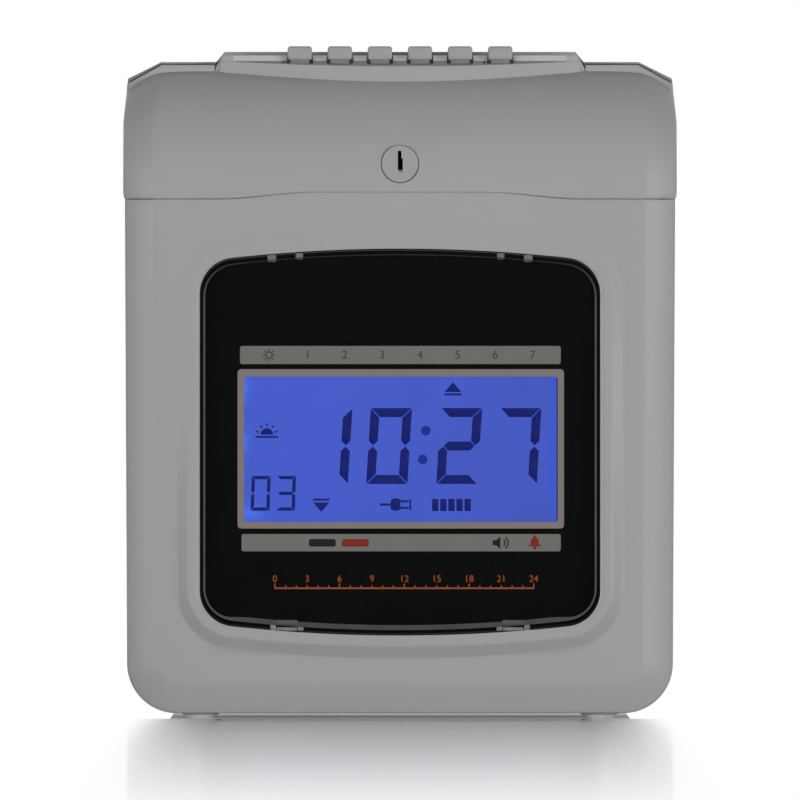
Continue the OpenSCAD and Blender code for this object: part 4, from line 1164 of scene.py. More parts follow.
@dataclass
class FrontHousing:
    """The front half of the case below the hood: face, sides, toe and the window's opening.

    Attributes:
        wall: the wall's thickness.
        inside_x: where the space inside ends, from the side wall.
        inside_slant: width of that space's slanted front corners.
        inside_y: its front and its corners behind the face, and its rear before the joint.
        inside_z: its lower end, and its upper end above the seam.
        toe: stretches of the toe's profile, as length and tilt at both ends.
    """

    NEAR_MM = (9.3, 8.9, 8.6, 8.3, 7.9, 7.2, 6.3, 5.4, 4.6, 4.2, 3.9, 3.6, 3.2, 2.5, 2.0, 1.7,
               1.45, 1.15, 0.85, 0.55, 0.3, 0.18, 0.07, 0.0)

    wall: float = 2.2
    inside_x: float = 2.8
    inside_slant: float = 8.8
    inside_y: tuple[float, float, float] = (3.2, 10.6, 0.3)
    inside_z: tuple[float, float] = (12.6, 7.0)
    toe: tuple[tuple[float, float, float], ...] = ((1.2, 90.0, 24.0), (10.5, 24.0, 13.0))

    def side_outline(self, inset_side: float, inset_low: float, r: float, count: int) -> Array:
        """A U of x and z from the left end of the seam, round the bottom, to the right end.

        Both straight sides keep their heights at the seam, so that rings of different
        inset end on it; each stretch has a fixed share of the points.

        Args:
            inset_side: distance from the side wall.
            inset_low: distance from the underside.
            r: the corner radius.
            count: points up one side; the corner and half the bottom have half as many.

        Returns:
            The outline, a place of x and z a row.
        """
        z_low, corner_n, low_n = CASE.z_floor + inset_low, count // 4, count
        z_top = CASE.z_seam
        z_side = np.linspace(z_top, z_low + r, count)
        side = np.stack([CASE.half_width(z_side) - inset_side, z_side], axis=1)
        x_corner = float(side[-1, 0]) - r
        a = np.linspace(0, math.pi / 2, corner_n + 2)[1:-1]
        turn = np.stack([x_corner + r * np.cos(a), z_low + r - r * np.sin(a)], axis=1)
        low_x = np.linspace(-x_corner, x_corner, low_n)
        low = np.stack([low_x, np.full(low_n, z_low)], axis=1)
        right = np.concatenate([side, turn])
        return np.concatenate([right * np.array([-1.0, 1.0]), low, right[::-1]])

    def skin(self) -> Piece:
        """The outer surface as one sheet: rings over the flank and toe, then rays to the window.

        Ring k of the flank lies the same share of the way between the outer and the inner
        U everywhere, and its depth goes from the facet's at the sides to the toe's round
        at the bottom by cos^2 and sin^2 of the outline's direction.
        """
        across, rise = FLANK.profile()
        parts = len(across)
        toe_w, toe_d = (np.interp(np.linspace(0, 1, parts), np.linspace(0, 1, len(row)), row)
                        for row in turned_profile(self.toe, 0.5))
        count = 110
        outer = self.side_outline(0.0, 0.0, CASE.corner_r, count)
        inner = self.side_outline(FLANK.crease, float(toe_w[-1]), CASE.corner_r - 10.6, count)
        tangent = np.gradient(outer, axis=0)
        tangent /= np.linalg.norm(tangent, axis=1)[:, None]
        side_share = tangent[:, 1] ** 2
        share = (side_share[None, :] * (across / across[-1])[:, None]
                 + (1 - side_share)[None, :] * (toe_w / toe_w[-1])[:, None])
        depth = (side_share[None, :] * rise[:, None] + (1 - side_share)[None, :] * toe_d[:, None])
        flat = outer[None] + (inner - outer)[None] * share[..., None]
        y = CASE.y_face + depth
        walls = [np.stack([outer[:, 0], CASE.y_part + (y[0] - CASE.y_part) * t, outer[:, 1]],
                          axis=1) for t in (0.0, 0.33, 0.66)]
        rings = np.stack([flat[..., 0], y, flat[..., 1]], axis=-1)
        skirt = np.concatenate([np.stack(walls), rings])
        skirt[..., 1] += np.where(np.arange(len(skirt)) >= 3, 1.0, 0.0)[:, None] * self.lean(
            skirt[..., 0], skirt[..., 2])
        skirt[..., 2] = self.to_seam(skirt[..., 0], skirt[..., 2])
        u_points = len(outer)
        x_end = float(inner[-1, 0])
        seam_x = np.linspace(x_end, -x_end, 96)[1:-1]
        seam = np.stack([seam_x, CASE.seam(seam_x)], axis=1)
        rim = np.concatenate([skirt[-1][:, [0, 2]], seam])
        hole = self.ray_hits(rim)
        rows = rim[None] + (hole - rim)[None] * self.ray_steps(rim, hole)[..., None]
        y_rows = CASE.y_face + self.lean(rows[..., 0], rows[..., 1])
        field = np.stack([rows[..., 0], y_rows, rows[..., 1]], axis=-1)
        for block in (skirt, field):
            block[..., 1] -= WINDOW.swell(block[..., 0], block[..., 2])
        first = grid_quads(len(skirt), u_points)
        second = grid_quads(len(field), len(rim), wrap_cols=True) + skirt.shape[0] * u_points
        points = np.concatenate([skirt.reshape(-1, 3), field.reshape(-1, 3)])
        return tidy_mesh(link_mesh("front_housing_shell", points,
                                   np.concatenate([first, second])), merge=0.02)

    @staticmethod
    def lean(x: Array, z: Array) -> Array:
        """The gentle turn's depth at a place on the face."""
        return FLANK.gentle(CASE.half_width(z) - np.abs(x))

    @staticmethod
    def to_seam(x: Array, z: Array) -> Array:
        """Stretch the top of the sides so that it ends on the seam's curve."""
        lift = CASE.seam(x) - CASE.z_seam
        return z + lift * smooth((z - CASE.z_seam + 30) / 30)

    @staticmethod
    def ray_hits(rim: Array) -> Array:
        """Where the rays from the window's middle to the rim's points cross its outline.

        Args:
            rim: the places on the rim.

        Returns:
            The places on the window's outline.
        """
        edge = WINDOW.outline(dense=6) - WINDOW.centre
        around, radius = np.arctan2(edge[:, 1], edge[:, 0]), np.hypot(edge[:, 0], edge[:, 1])
        order = np.argsort(around)
        ray = rim - WINDOW.centre
        angle = np.arctan2(ray[:, 1], ray[:, 0])
        length = np.interp(angle, around[order], radius[order], period=2 * math.pi)
        return WINDOW.centre + np.stack([np.cos(angle), np.sin(angle)], axis=1) * length[:, None]

    @classmethod
    def ray_steps(cls, rim: Array, hole: Array) -> Array:
        """Shares of the way along each ray: even far out, close together next to the window.

        Args:
            rim: where the rays start.
            hole: where they end.

        Returns:
            A row of shares for each step.
        """
        length = np.linalg.norm(hole - rim, axis=1)
        near = 1 - np.array(cls.NEAR_MM)[:, None] / length[None, :]
        even = np.linspace(0, 1, len(cls.NEAR_MM))[:, None] * np.ones_like(length)[None, :]
        use = np.clip((length - 10.0) / 4.0, 0, 1)[None, :]
        near = even * (1 - use) + near * use
        outer = np.linspace(0, 1, 8)[1:-1, None] * near[0][None, :]
        return np.concatenate([np.zeros((1, len(length))), outer, near])

    def build(self) -> None:
        """Make the shell, round the opening's edge and add what stands behind it.

        Solidify keeps the skin's own points first, so the edge's depth goes to those only.
        """
        skin = self.skin()
        count = len(skin.data.vertices)
        shell = thicken(skin, self.wall)
        co = np.empty(3 * len(shell.data.vertices))
        shell.data.vertices.foreach_get("co", co)
        points = co.reshape(-1, 3) / MM
        points[:count, 1] += WINDOW.edge(points[:count, 0], points[:count, 2])
        shell.data.vertices.foreach_set("co", (points * MM).ravel())
        shell.data.update()
        bevel(shell, 0.14, angle=60.0)
        place(shell, Kit.SHELL, "case", "front_housing")
        x, slant = CASE.half_w - self.inside_x, self.inside_slant
        front, bend, rear = self.inside_y
        y0, y1, y2 = CASE.y_face + front, CASE.y_face + bend, CASE.y_part - rear
        outline = [(x, y2), (x, y1), (x - slant, y0), (slant - x, y0), (-x, y1), (-x, y2)]
        low, above = self.inside_z
        inside = inner_copy("front_housing", "front_housing_inside",
                            [prism("inside_volume", outline, low, CASE.z_seam + above, "Z")])
        place(inside, Kit.SHELL, "case")


@dataclass
class Hood:
    """The hinged upper cover: an upright front, a round brow and the flanks of the case.

    Attributes:
        rows_up: rows of points on the upright front.
        rows_round: rows of points round the brow.
        lock_hole: radius of the hole for the lock.
        lock_hole_y: the depths between which that hole is cut.
        inside_gap: distance of the space inside from the brow.
        inside_low: how far that space reaches below the seam.
        inside_x: where it ends, from the side wall.
        lug_x: where the hinge lugs stand, from the middle.
        rim_depth: thickness of the rim, from the rear edge forwards.
        rim_x: where the rim begins beside the collar.
        rim_lift: how far it stands above the case's own rim height.
    """

    rows_up: int = 5
    rows_round: int = 44
    wall: float = 2.2
    lock_hole: float = 6.93
    lock_hole_y: tuple[float, float] = (-80.0, -60.0)
    inside_gap: float = 2.7
    inside_low: float = 3.0
    inside_x: float = 11.6
    lug_x: float = 77.0
    rim_depth: float = 0.7
    rim_x: float = 67.1
    rim_lift: float = 0.3

    def columns(self) -> tuple[Array, Array]:
        """Sides and inward distances of the columns, from the left wall to the right."""
        across, _ = FLANK.profile()
        half = np.concatenate([across, across[-1] + np.linspace(0, 1, 12)[1:] * 14.0])
        middle = np.linspace(-1, 1, 60)[1:-1]
        sides = np.concatenate([np.full(len(half), -1.0), np.sign(middle), np.ones(len(half))])
        reach = CASE.half_w - half[-1]
        inward = np.concatenate([half, CASE.half_w - np.abs(middle) * reach, half[::-1]])
        return sides, inward

    def skin(self) -> Piece:
        """The outer surface as one sheet: the brow's profile drawn in by the flank's depth.

        A point is the profile's own place less its outward normal times the flank's depth,
        and each column ends where it meets the hood's rear plane; the side walls run from
        the outermost columns straight back to that plane.
        """
        sides, inward = self.columns()
        depth = FLANK.depth(inward)
        radius = CASE.brow_r - depth
        y_mid = CASE.y_face + CASE.brow_r
        last = np.arccos(np.clip((y_mid - CASE.y_hood_back) / radius, -1, 1))
        up = np.linspace(0, 1, self.rows_up + 1)[:-1]
        turn = np.linspace(0, 1, self.rows_round)
        x0 = sides * (CASE.half_w - inward)
        low = CASE.hood_low(x0)
        z_up = low[None] + (CASE.z_brow_centre - low)[None] * up[:, None]
        y_up = np.repeat((CASE.y_face + depth)[None], len(up), axis=0)
        phi = turn[:, None] * last[None]
        z_turn = CASE.z_brow_centre + radius[None] * np.sin(phi)
        y_turn = y_mid - radius[None] * np.cos(phi)
        z, y = np.concatenate([z_up, z_turn]), np.concatenate([y_up, y_turn])
        width = CASE.half_width(z)
        x = sides[None] * np.clip(width - inward[None] * (width / CASE.half_w), 0, None)
        face = np.stack([x, y, z], axis=-1)
        left, right = (self.side_wall(face[:, edge]) for edge in (0, -1))
        whole = np.concatenate([left[:, ::-1], face, right], axis=1)
        quads = grid_quads(*whole.shape[:2])
        return tidy_mesh(link_mesh("hood_shell", whole.reshape(-1, 3), quads), merge=0.02)

    @staticmethod
    def side_wall(line: Array) -> Array:
        """Four columns from an outermost one straight back to the rear plane."""
        wall = np.repeat(line[:, None, :], 4, axis=1)
        wall[..., 1] += (CASE.y_hood_back - line[:, 1])[:, None] * np.linspace(0, 1, 5)[1:]
        return wall

    def surface_z(self, y: Array) -> Array:
        """The height of the brow's middle over y."""
        y_mid = CASE.y_face + CASE.brow_r
        return CASE.z_brow_centre + np.sqrt(np.clip(CASE.brow_r ** 2 - (y_mid - y) ** 2, 0, None))

    def rim(self, side: Side) -> Piece:
        """The raised rim along the rear edge of one side, swept along the outline.

        Args:
            side: the side that it stands on.

        Returns:
            The piece.
        """
        z_rim = CASE.z_rim + self.rim_lift
        y0, y1 = CASE.y_hood_back - self.rim_depth, CASE.y_hood_back
        top = np.array([(self.rim_x, z_rim), (CASE.half_w - 14.0, z_rim),
                        (CASE.half_w - 13.5, z_rim - 0.2), (CASE.half_w - 2.1, z_rim - 6.55),
                        (CASE.half_w - 1.65, z_rim - 7.1), (CASE.half_w - 1.3, z_rim - 10.0)])
        low = top + np.array([(0, -3.4), (0, -3.6), (-0.6, -4.2), (-3.2, -3.4), (-3.0, -3.0),
                              (-3.0, -1.0)])
        rings = [np.array([(xl, y0, zl), (xt, y0, zt), (xt, y1, zt), (xl, y1, zl)])
                 * np.array([side.value, 1, 1]) for (xt, zt), (xl, zl) in zip(top, low)]
        piece = loft(f"hood_rim_{side.name.lower()}", rings)
        bevel(piece, 0.25, angle=35.0)
        return piece

    def inside(self) -> Piece:
        """What stands inside the cover, and its hinge lugs, from the CAD form.

        The volume's section is a circle a wall inside the brow, carried straight down.
        """
        radius, y_mid = CASE.brow_r - self.inside_gap, CASE.y_face + CASE.brow_r
        z_low, reach = CASE.z_seam - self.inside_low, CASE.half_w - self.inside_x
        last = math.acos((y_mid - CASE.y_hood_back) / radius)
        turn = np.linspace(0, last, 24)
        section = [(CASE.y_hood_back, z_low), (y_mid - radius, z_low)]
        section += list(zip(y_mid - radius * np.cos(turn),
                            CASE.z_brow_centre + radius * np.sin(turn)))
        volumes = [prism("hood_volume", section, -reach, reach, "X")]
        for side in Side:
            mid = side.value * self.lug_x
            volumes.append(soft_box(f"lug_volume_{side.name.lower()}",
                                    (mid - 4.0, CASE.y_hood_back - 0.3, CASE.z_top - 7.0),
                                    (mid + 4.0, CASE.y_hood_back + 5.0, CASE.z_top - 0.6), 0.05))
        return inner_copy("hood", "hood_inside", volumes)

    def build(self) -> None:
        """Make the cover, its rim, what stands inside it and its hinge lugs."""
        shell = thicken(self.skin(), self.wall)
        bevel(shell, 0.14, angle=60.0)
        z_lock = float(sum(span("lock_barrel"))[2] / 2)
        cutters = [lathe("lock_hole_cutter", [(self.lock_hole, y) for y in self.lock_hole_y],
                         (0, 0, z_lock), "Y", 96)]
        for k, low, high, mid in column_keys():
            cutters.append(soft_box(f"stem_cutter_{k}", (mid - 3.75, low[1] + 0.3, low[2] + 2.0),
                                    (mid + 3.75, high[1] - 0.3, high[2]), 0.4))
        cut(shell, cutters)
        smooth_shade(shell, CREASE)
        place(shell, Kit.HOOD, "hood", "hood")
        place(self.inside(), Kit.HOOD, "hood")
        for side in Side:
            place(self.rim(side), Kit.HOOD, "hood")


@dataclass
class Collar:
    """The raised collar on the hood in front of the card slot, with six key wells."""

    half_l: float = 66.8
    end_run: float = 3.0
    bow_r: float = 278.0
    depth: float = 9.4
    rim_d: float = 2.5
    slope: float = 1.8
    sunk: float = 1.5
    shaded_l: float = 60.0
    well_gap: float = 0.35
    well_d: float = 6.9
    skirt_half: float = 3.7

    def build(self, hood: Hood) -> None:
        """Sweep the collar's section along x and cut the wells.

        The lip's y is that of an arc of radius bow_r; its top follows the sloping top, and
        everything is capped by the slanted ends.
        """
        y_lip, y_rim = CASE.y_hood_back - self.depth, CASE.y_hood_back - self.rim_d
        z_top, z_front = CASE.height - 3.3, CASE.z_rim
        end = self.half_l - self.end_run * (1 - np.cos(np.linspace(0, math.pi / 2, 11)))
        x = np.concatenate([-end, np.linspace(-end[-1], end[-1], 73)[1:-1], end[::-1]])
        cap = np.interp(np.abs(x), self.half_l - np.array([3.0, 1.7, 0.4, 0.0]),
                        z_front + np.array([3.8, 2.0, 0.0, -1.3]))
        y_f = y_lip + self.bow_r - np.sqrt(self.bow_r ** 2 - x ** 2)
        t = np.clip((np.abs(x) - self.half_l) / self.end_run + 1, 0, 1)
        y_f += self.end_run * (1 - np.sqrt(1 - t * t))
        y_f = np.minimum(y_f, CASE.y_hood_back - 0.6)
        y_step = np.maximum(y_f + 0.02, y_rim)
        rise = z_front + self.slope * (np.minimum(y_f, y_rim) - y_lip) / (y_rim - y_lip)
        z_step = np.where(y_f < y_rim - 0.01, z_front + self.slope, z_top)
        y_back = np.full_like(x, CASE.y_hood_back - 0.02)
        rows = [(y_f, hood.surface_z(y_f) - self.sunk), (y_f, np.minimum(rise - 0.25, cap)),
                (y_f + 0.25, np.minimum(rise, cap)),
                (y_step, np.minimum(z_step, cap)), (y_step + 0.01, np.minimum(z_top, cap)),
                (y_back, np.minimum(z_top, cap)),
                (y_back, hood.surface_z(np.array(CASE.y_hood_back)) - self.sunk)]
        ring = np.stack([np.stack([x, y, np.broadcast_to(z, x.shape)], axis=-1)
                         for y, z in rows], axis=1)
        body = loft("hood_collar", list(ring))
        cutters = []
        for k, low, high, mid in column_keys():
            half, gap = (high[0] - low[0]) / 2 + self.well_gap, self.well_gap
            cutters.append(soft_box(f"well_cutter_{k}",
                                    (mid - half, low[1] - gap, high[2] - self.well_d),
                                    (mid + half, high[1] + gap, high[2] + 9.0), 0.3))
            cutters.append(soft_box(f"skirt_cutter_{k}",
                                    (mid - self.skirt_half, low[1] + gap, high[2] - 14.0),
                                    (mid + self.skirt_half, high[1] - gap, high[2]), 0.3))
        cut(body, cutters)
        bevel(body, 0.3, angle=40.0)
        body.data.materials.append(Kit.HOOD.material)
        # the riser between the keys is painted lighter: painted light
        paint_inside(body, Kit.RISER,
                     (-self.shaded_l, y_rim - 0.05, z_front + self.slope - 0.15),
                     (self.shaded_l, y_rim + 0.2, z_top - 0.12))
        # the slope before the riser is painted darker: painted shade
        paint_inside(body, Kit.SLOPE, (-self.shaded_l, y_lip + 0.3, z_front - 0.2),
                     (self.shaded_l, y_rim - 0.1, z_front + self.slope))
        place(body, Kit.HOOD, "hood")


@dataclass
class ColumnKeys:
    """The six round-edged keys in the collar, each on its narrower skirt."""

    cap_h: float = 5.1
    cap_r: float = 1.1
    stem_half: float = 3.45
    inset: float = 0.6

    def build(self) -> None:
        """Make each key from its CAD box."""
        for k, low, high, mid in column_keys():
            cap = soft_box(f"column_key_cap_{k}", (low[0], low[1], high[2] - self.cap_h), high,
                           self.cap_r, steps=5)
            place(cap, Kit.KEY, f"column_key_{k}", f"column_key_{k}")
            # the skirt's dark grey is painted shade under the cap
            y0, y1 = low[1] + self.inset, high[1] - self.inset
            stem = soft_box(f"column_key_stem_{k}", (mid - self.stem_half, y0, low[2] + 0.9),
                            (mid + self.stem_half, y1, high[2] - self.cap_h + 0.3), 0.5)
            foot = soft_box(f"column_key_foot_{k}", low, (high[0], y1, low[2] + 1.0), 0.3)
            place(join(f"column_key_skirt_{k}", [stem, foot]), Kit.SKIRT, f"column_key_{k}")


@dataclass
class Lock:
    """The lock in the hood: a plain round face with its keyway, in a thin dark ring of painted
    shade in its gap.

    Attributes:
        play: gap between the barrel and what holds it.
        ring_y: front and rear of the thin ring of painted shade.
        ring_w: how far the ring reaches past the barrel.
        flange_w: how far the sleeve's flange stands out.
    """

    KEYWAY = {"upper": ((-0.76, -2, 1.0), (0.5, 7, 4.8)),
              "lower": ((-0.76, -2, -2.1), (1.0, 7, 2.0)),
              "foot": ((-0.6, -2, -3.0), (0.9, 0.5, -2.0))}

    edge: float = 0.15
    play: float = 0.05
    ring_y: tuple[float, float] = (-67.6, -62.4)
    ring_w: float = 0.2
    flange_w: float = 2.0
    flange_d: float = 2.0

    def build(self) -> None:
        """Make the barrel, its sleeve and the cam."""
        low, high = span("lock_barrel")
        r, y0, z = (high[0] - low[0]) / 2, low[1], (low[2] + high[2]) / 2
        r_face, middle, spot = r - self.play, (0, 0, z), np.array([0.0, y0, z])
        face = lathe("lock_barrel_body", [(0.02, y0), (r_face - self.edge, y0),
                                          (r_face, y0 + self.edge), (r_face, high[1] - 0.4),
                                          (r - 0.5, high[1]), (0.02, high[1])], middle, "Y", 96)
        face.data.materials.append(Kit.LOCK.material)
        cut(face, [soft_box(f"keyway_{name}", spot + start, spot + end, 0.05)
                   for name, (start, end) in self.KEYWAY.items()])
        # the keyway's inside is painted near black and its foot dark grey: painted shade in the
        # hollows
        paint_inside(face, Kit.KEYWAY, spot + (-0.8, 0.02, -2.05), spot + (1.04, 7.2, 4.85))
        paint_inside(face, Kit.SKIRT, spot + (-0.7, 0.02, -3.1), spot + (1.0, 0.6, -2.05))
        smooth_shade(face, CREASE)
        place(face, Kit.LOCK, "lock", "lock_barrel")
        # a thin dark ring in the gap round the barrel: painted shade
        r_in, r_out, (front, rear) = r - 0.02, r + self.ring_w, self.ring_y
        ring = lathe("lock_gap_shade_ring", [(r_in, front), (r_out, front), (r_out, rear), (r_in, rear),
                                   (r_in, front)], middle, "Y", 96)
        place(ring, Kit.SKIRT, "hood")
        sleeve_low, sleeve_high = span("lock_sleeve")
        flange_r = (sleeve_high[0] - sleeve_low[0]) / 2
        bore, outer, front = r + self.play, flange_r - self.flange_w, y0 + 5.0
        y_flange, rear = y0 + 6.7, sleeve_high[1]
        sleeve = lathe("lock_sleeve_body",
                       [(bore, front), (outer, front), (outer, y_flange), (flange_r, y_flange),
                        (flange_r, y_flange + self.flange_d), (outer, y_flange + self.flange_d),
                        (outer, rear), (bore, rear), (bore, front)], middle, "Y", 72)
        place(sleeve, Kit.ZINC, "hood", "lock_sleeve")
        cam = cad_copy("lock_cam", 0.25)
        place(cam, Kit.ZINC, "lock", "lock_cam")


@dataclass
class DisplayWindow:
    """The clear window with its clips, its black mask and the lit glass."""

    # each set's finish, how far it stands before the face, and the x, z and radius of its boxes
    CLIPS = {
        "lens_hooks": (Kit.CLIP, -0.2, ((44.7, 47.9, 164.8, 167.6, 0.8),
                                        (35.0, 37.7, 165.7, 168.2, 0.8))),
        "lens_bars": (Kit.CLIP_DARK, 1.15, ((37.0, 44.6, 33.9, 35.6, 0.3),)),
        "lens_posts": (Kit.CLIP_PALE, -0.2, ((44.7, 46.9, 31.6, 34.1, 0.5),
                                             (34.8, 36.9, 31.6, 34.1, 0.5),
                                             (37.1, 44.5, 31.6, 33.0, 0.4))),
    }

    lens_rise: float = 1.0
    clip_d: float = 1.4
    mask_y: float = CASE.y_face + 2.5
    lens_y: float = CASE.y_face

    @staticmethod
    def plateau(inset_side: float, inset_low: float, inset_top: float) -> WindowFrame:
        """The outline of the lens's raised middle, by its distances from the opening."""
        return WindowFrame(half_w=WINDOW.half_w - inset_side, z0=WINDOW.z0 + inset_low,
                           height=WINDOW.height - inset_low - inset_top,
                           r=WINDOW.r - inset_side, bow=WINDOW.bow)

    def lens(self) -> None:
        """A stepped clear plate: a wide foot in the opening and a raised middle."""
        y0, y_step, y1 = self.lens_y - self.lens_rise, self.lens_y + 1.0, self.mask_y - 0.25
        rise = self.plateau(1.3, 1.9, 2.0)
        rings = []
        for shape, inset, y in [(rise, 0.45, y0), (rise, 0.15, y0 + 0.12), (rise, 0.0, y0 + 0.5),
                                (rise, -0.05, y_step), (WINDOW, 0.4, y_step),
                                (WINDOW, 0.25, y_step + 0.2), (WINDOW, 0.25, y1)]:
            rings.append(at_depth(shape.outline(inset), y))
        place(loft("display_lens_plate", rings), Kit.LENS, "case", "display_lens")
        bottom, top = WINDOW.z0, WINDOW.z0 + WINDOW.height
        # two thin glowing bands on the lens's edges: painted highlights
        inner = rise.outline(0.7)
        away = smooth((68 - np.abs(inner[:, 0])) / 14)
        inner[:, 1] += away * np.where(inner[:, 1] < rise.centre[1], 1.1, 0.35)
        ring = self.band("lens_plateau_edge", rise.outline(), inner, y0 - 0.02, y0 + 0.08)
        place(ring, edge_material("plateau_light", [(bottom + 2.5, 0.054), (bottom + 9, 0.066),
                                                    (top - 22, 0.070), (top - 5, 0.020)]),
              "case")
        foot = self.band("lens_foot_edge", WINDOW.outline(0.3), WINDOW.outline(0.65),
                         y_step - 0.1, y_step + 0.02)
        place(foot, edge_material("foot_light", [(bottom + 1.5, 0.018), (bottom + 10, 0.006),
                                                 (top - 14, 0.006), (top - 6, 0.038)]),
              "case")

    @staticmethod
    def band(name: str, outer: Array, inner: Array, y0: float, y1: float) -> Piece:
        """A flat closed ring between two outlines with equal numbers of points."""
        rings = [at_depth(*ring) for ring in ((outer, y0), (outer, y1), (inner, y1), (inner, y0))]
        quads = grid_quads(4, len(outer), wrap_cols=True, wrap_rows=True)
        return tidy_mesh(link_mesh(name, np.concatenate(rings), quads))

    def clips(self) -> None:
        """The small posts that hold the lens at the top and the bottom of the opening."""
        for name, (finish, forward, boxes) in self.CLIPS.items():
            made = []
            for side in Side:
                for x0, x1, z0, z1, r in boxes:
                    ends = sorted((side.value * x0, side.value * x1))
                    made.append(soft_box(f"{name}_{len(made)}",
                                         (ends[0], self.lens_y - forward, z0),
                                         (ends[1], self.lens_y + self.clip_d, z1), r))
            place(join(name, made), finish, "case")

    def mask(self) -> None:
        """The black plate behind the lens with the opening for the glass."""
        low, high = span("display_mask")
        outer = rounded_outline(high[0] - 0.4, low[2] + 0.4, high[2] - 0.4, 10.0)
        panel_low, panel_high = span("lcd_panel")
        half_x, z0, z1 = panel_high[0] - 2.0, panel_low[2] + 2.0, panel_high[2] - 2.0
        inner = rounded_outline(half_x, z0, z1, 0.8)
        place(self.band("display_mask_plate", outer, inner, self.mask_y, high[1]), Kit.MASK,
              "case", "display_mask")

    def glass(self) -> None:
        """The lit blue glass and its light guide."""
        low, high = span("lcd_panel")
        panel = plate("lcd_glass", rectangle(low[0], high[0], low[2], high[2], 0.6), low[1],
                      high[1], 0.2)
        place(panel, screen_material(high[0] - 2), "case", "lcd_panel")
        place(cad_copy("backlight", 0.3), Kit.GUIDE, "case", "backlight")

    def build(self) -> None:
        """Make every layer of the display."""
        self.lens()
        self.clips()
        self.mask()
        self.glass()


class Art:
    """Places in the photograph turned into millimetres on the display.

    SCALE is the millimetres of a pixel; X0 and Z0 are the pixels of the middle and the floor.
    """

    SCALE = 0.361
    X0 = 400.2
    Z0 = 718.5

    @classmethod
    def x(cls, px: float) -> float:
        """Millimetres along X."""
        return (px - cls.X0) * cls.SCALE

    @classmethod
    def z(cls, px: float) -> float:
        """Height in millimetres."""
        return (cls.Z0 - px) * cls.SCALE

    @classmethod
    def box(cls, x0: float, y0: float, x1: float, y1: float, r: float = 0.0) -> Array:
        """A rectangle's outline."""
        return rectangle(cls.x(x0), cls.x(x1), cls.z(y1), cls.z(y0), r)

    @classmethod
    def path(cls, points: Sequence[tuple[float, float]]) -> Array:
        """A closed outline."""
        return np.array([(cls.x(px), cls.z(py)) for px, py in points])


SEGMENTS = {"0": "abcdef", "1": "bc", "2": "abged", "3": "abgcd", "7": "abc"}


def seven_segment(digit: str, left: float, top: float, width: float, height: float,
                  bar: float, slant: float, gap: float) -> list[Array]:
    """Return the lit segments of a digit as closed outlines with mitred ends.

    Args:
        digit: the figure.
        left: x of the cell's upper left corner.
        top: z of its top.
        width: the cell's width.
        height: its height.
        bar: the width of a segment.
        slant: the lean to the right, in degrees.
        gap: the gap between segments.

    Returns:
        One outline a segment.
    """
    h, g, mid = bar / 2, gap / 2, height / 2
    across = [(g, 0), (width - g, 0), (width - bar - g, bar), (bar + g, bar)]
    shapes = {
        "a": across,
        "d": [(x, height - y) for x, y in across],
        "f": [(0, g), (bar, bar + g), (bar, mid - h - g), (h, mid - g), (0, mid - g - h)],
        "b": [(width, g), (width - bar, bar + g), (width - bar, mid - h - g),
              (width - h, mid - g), (width, mid - g - h)],
        "g": [(h + g, mid), (bar + g, mid - h), (width - bar - g, mid - h),
              (width - h - g, mid), (width - bar - g, mid + h), (bar + g, mid + h)],
    }
    shapes["e"] = [(x, height - y) for x, y in shapes["f"]]
    shapes["c"] = [(x, height - y) for x, y in shapes["b"]]
    lean = math.tan(math.radians(slant))
    return [np.array([(left + x + (height - y) * lean, top - y) for x, y in shapes[k]])
            for k in SEGMENTS[digit]]


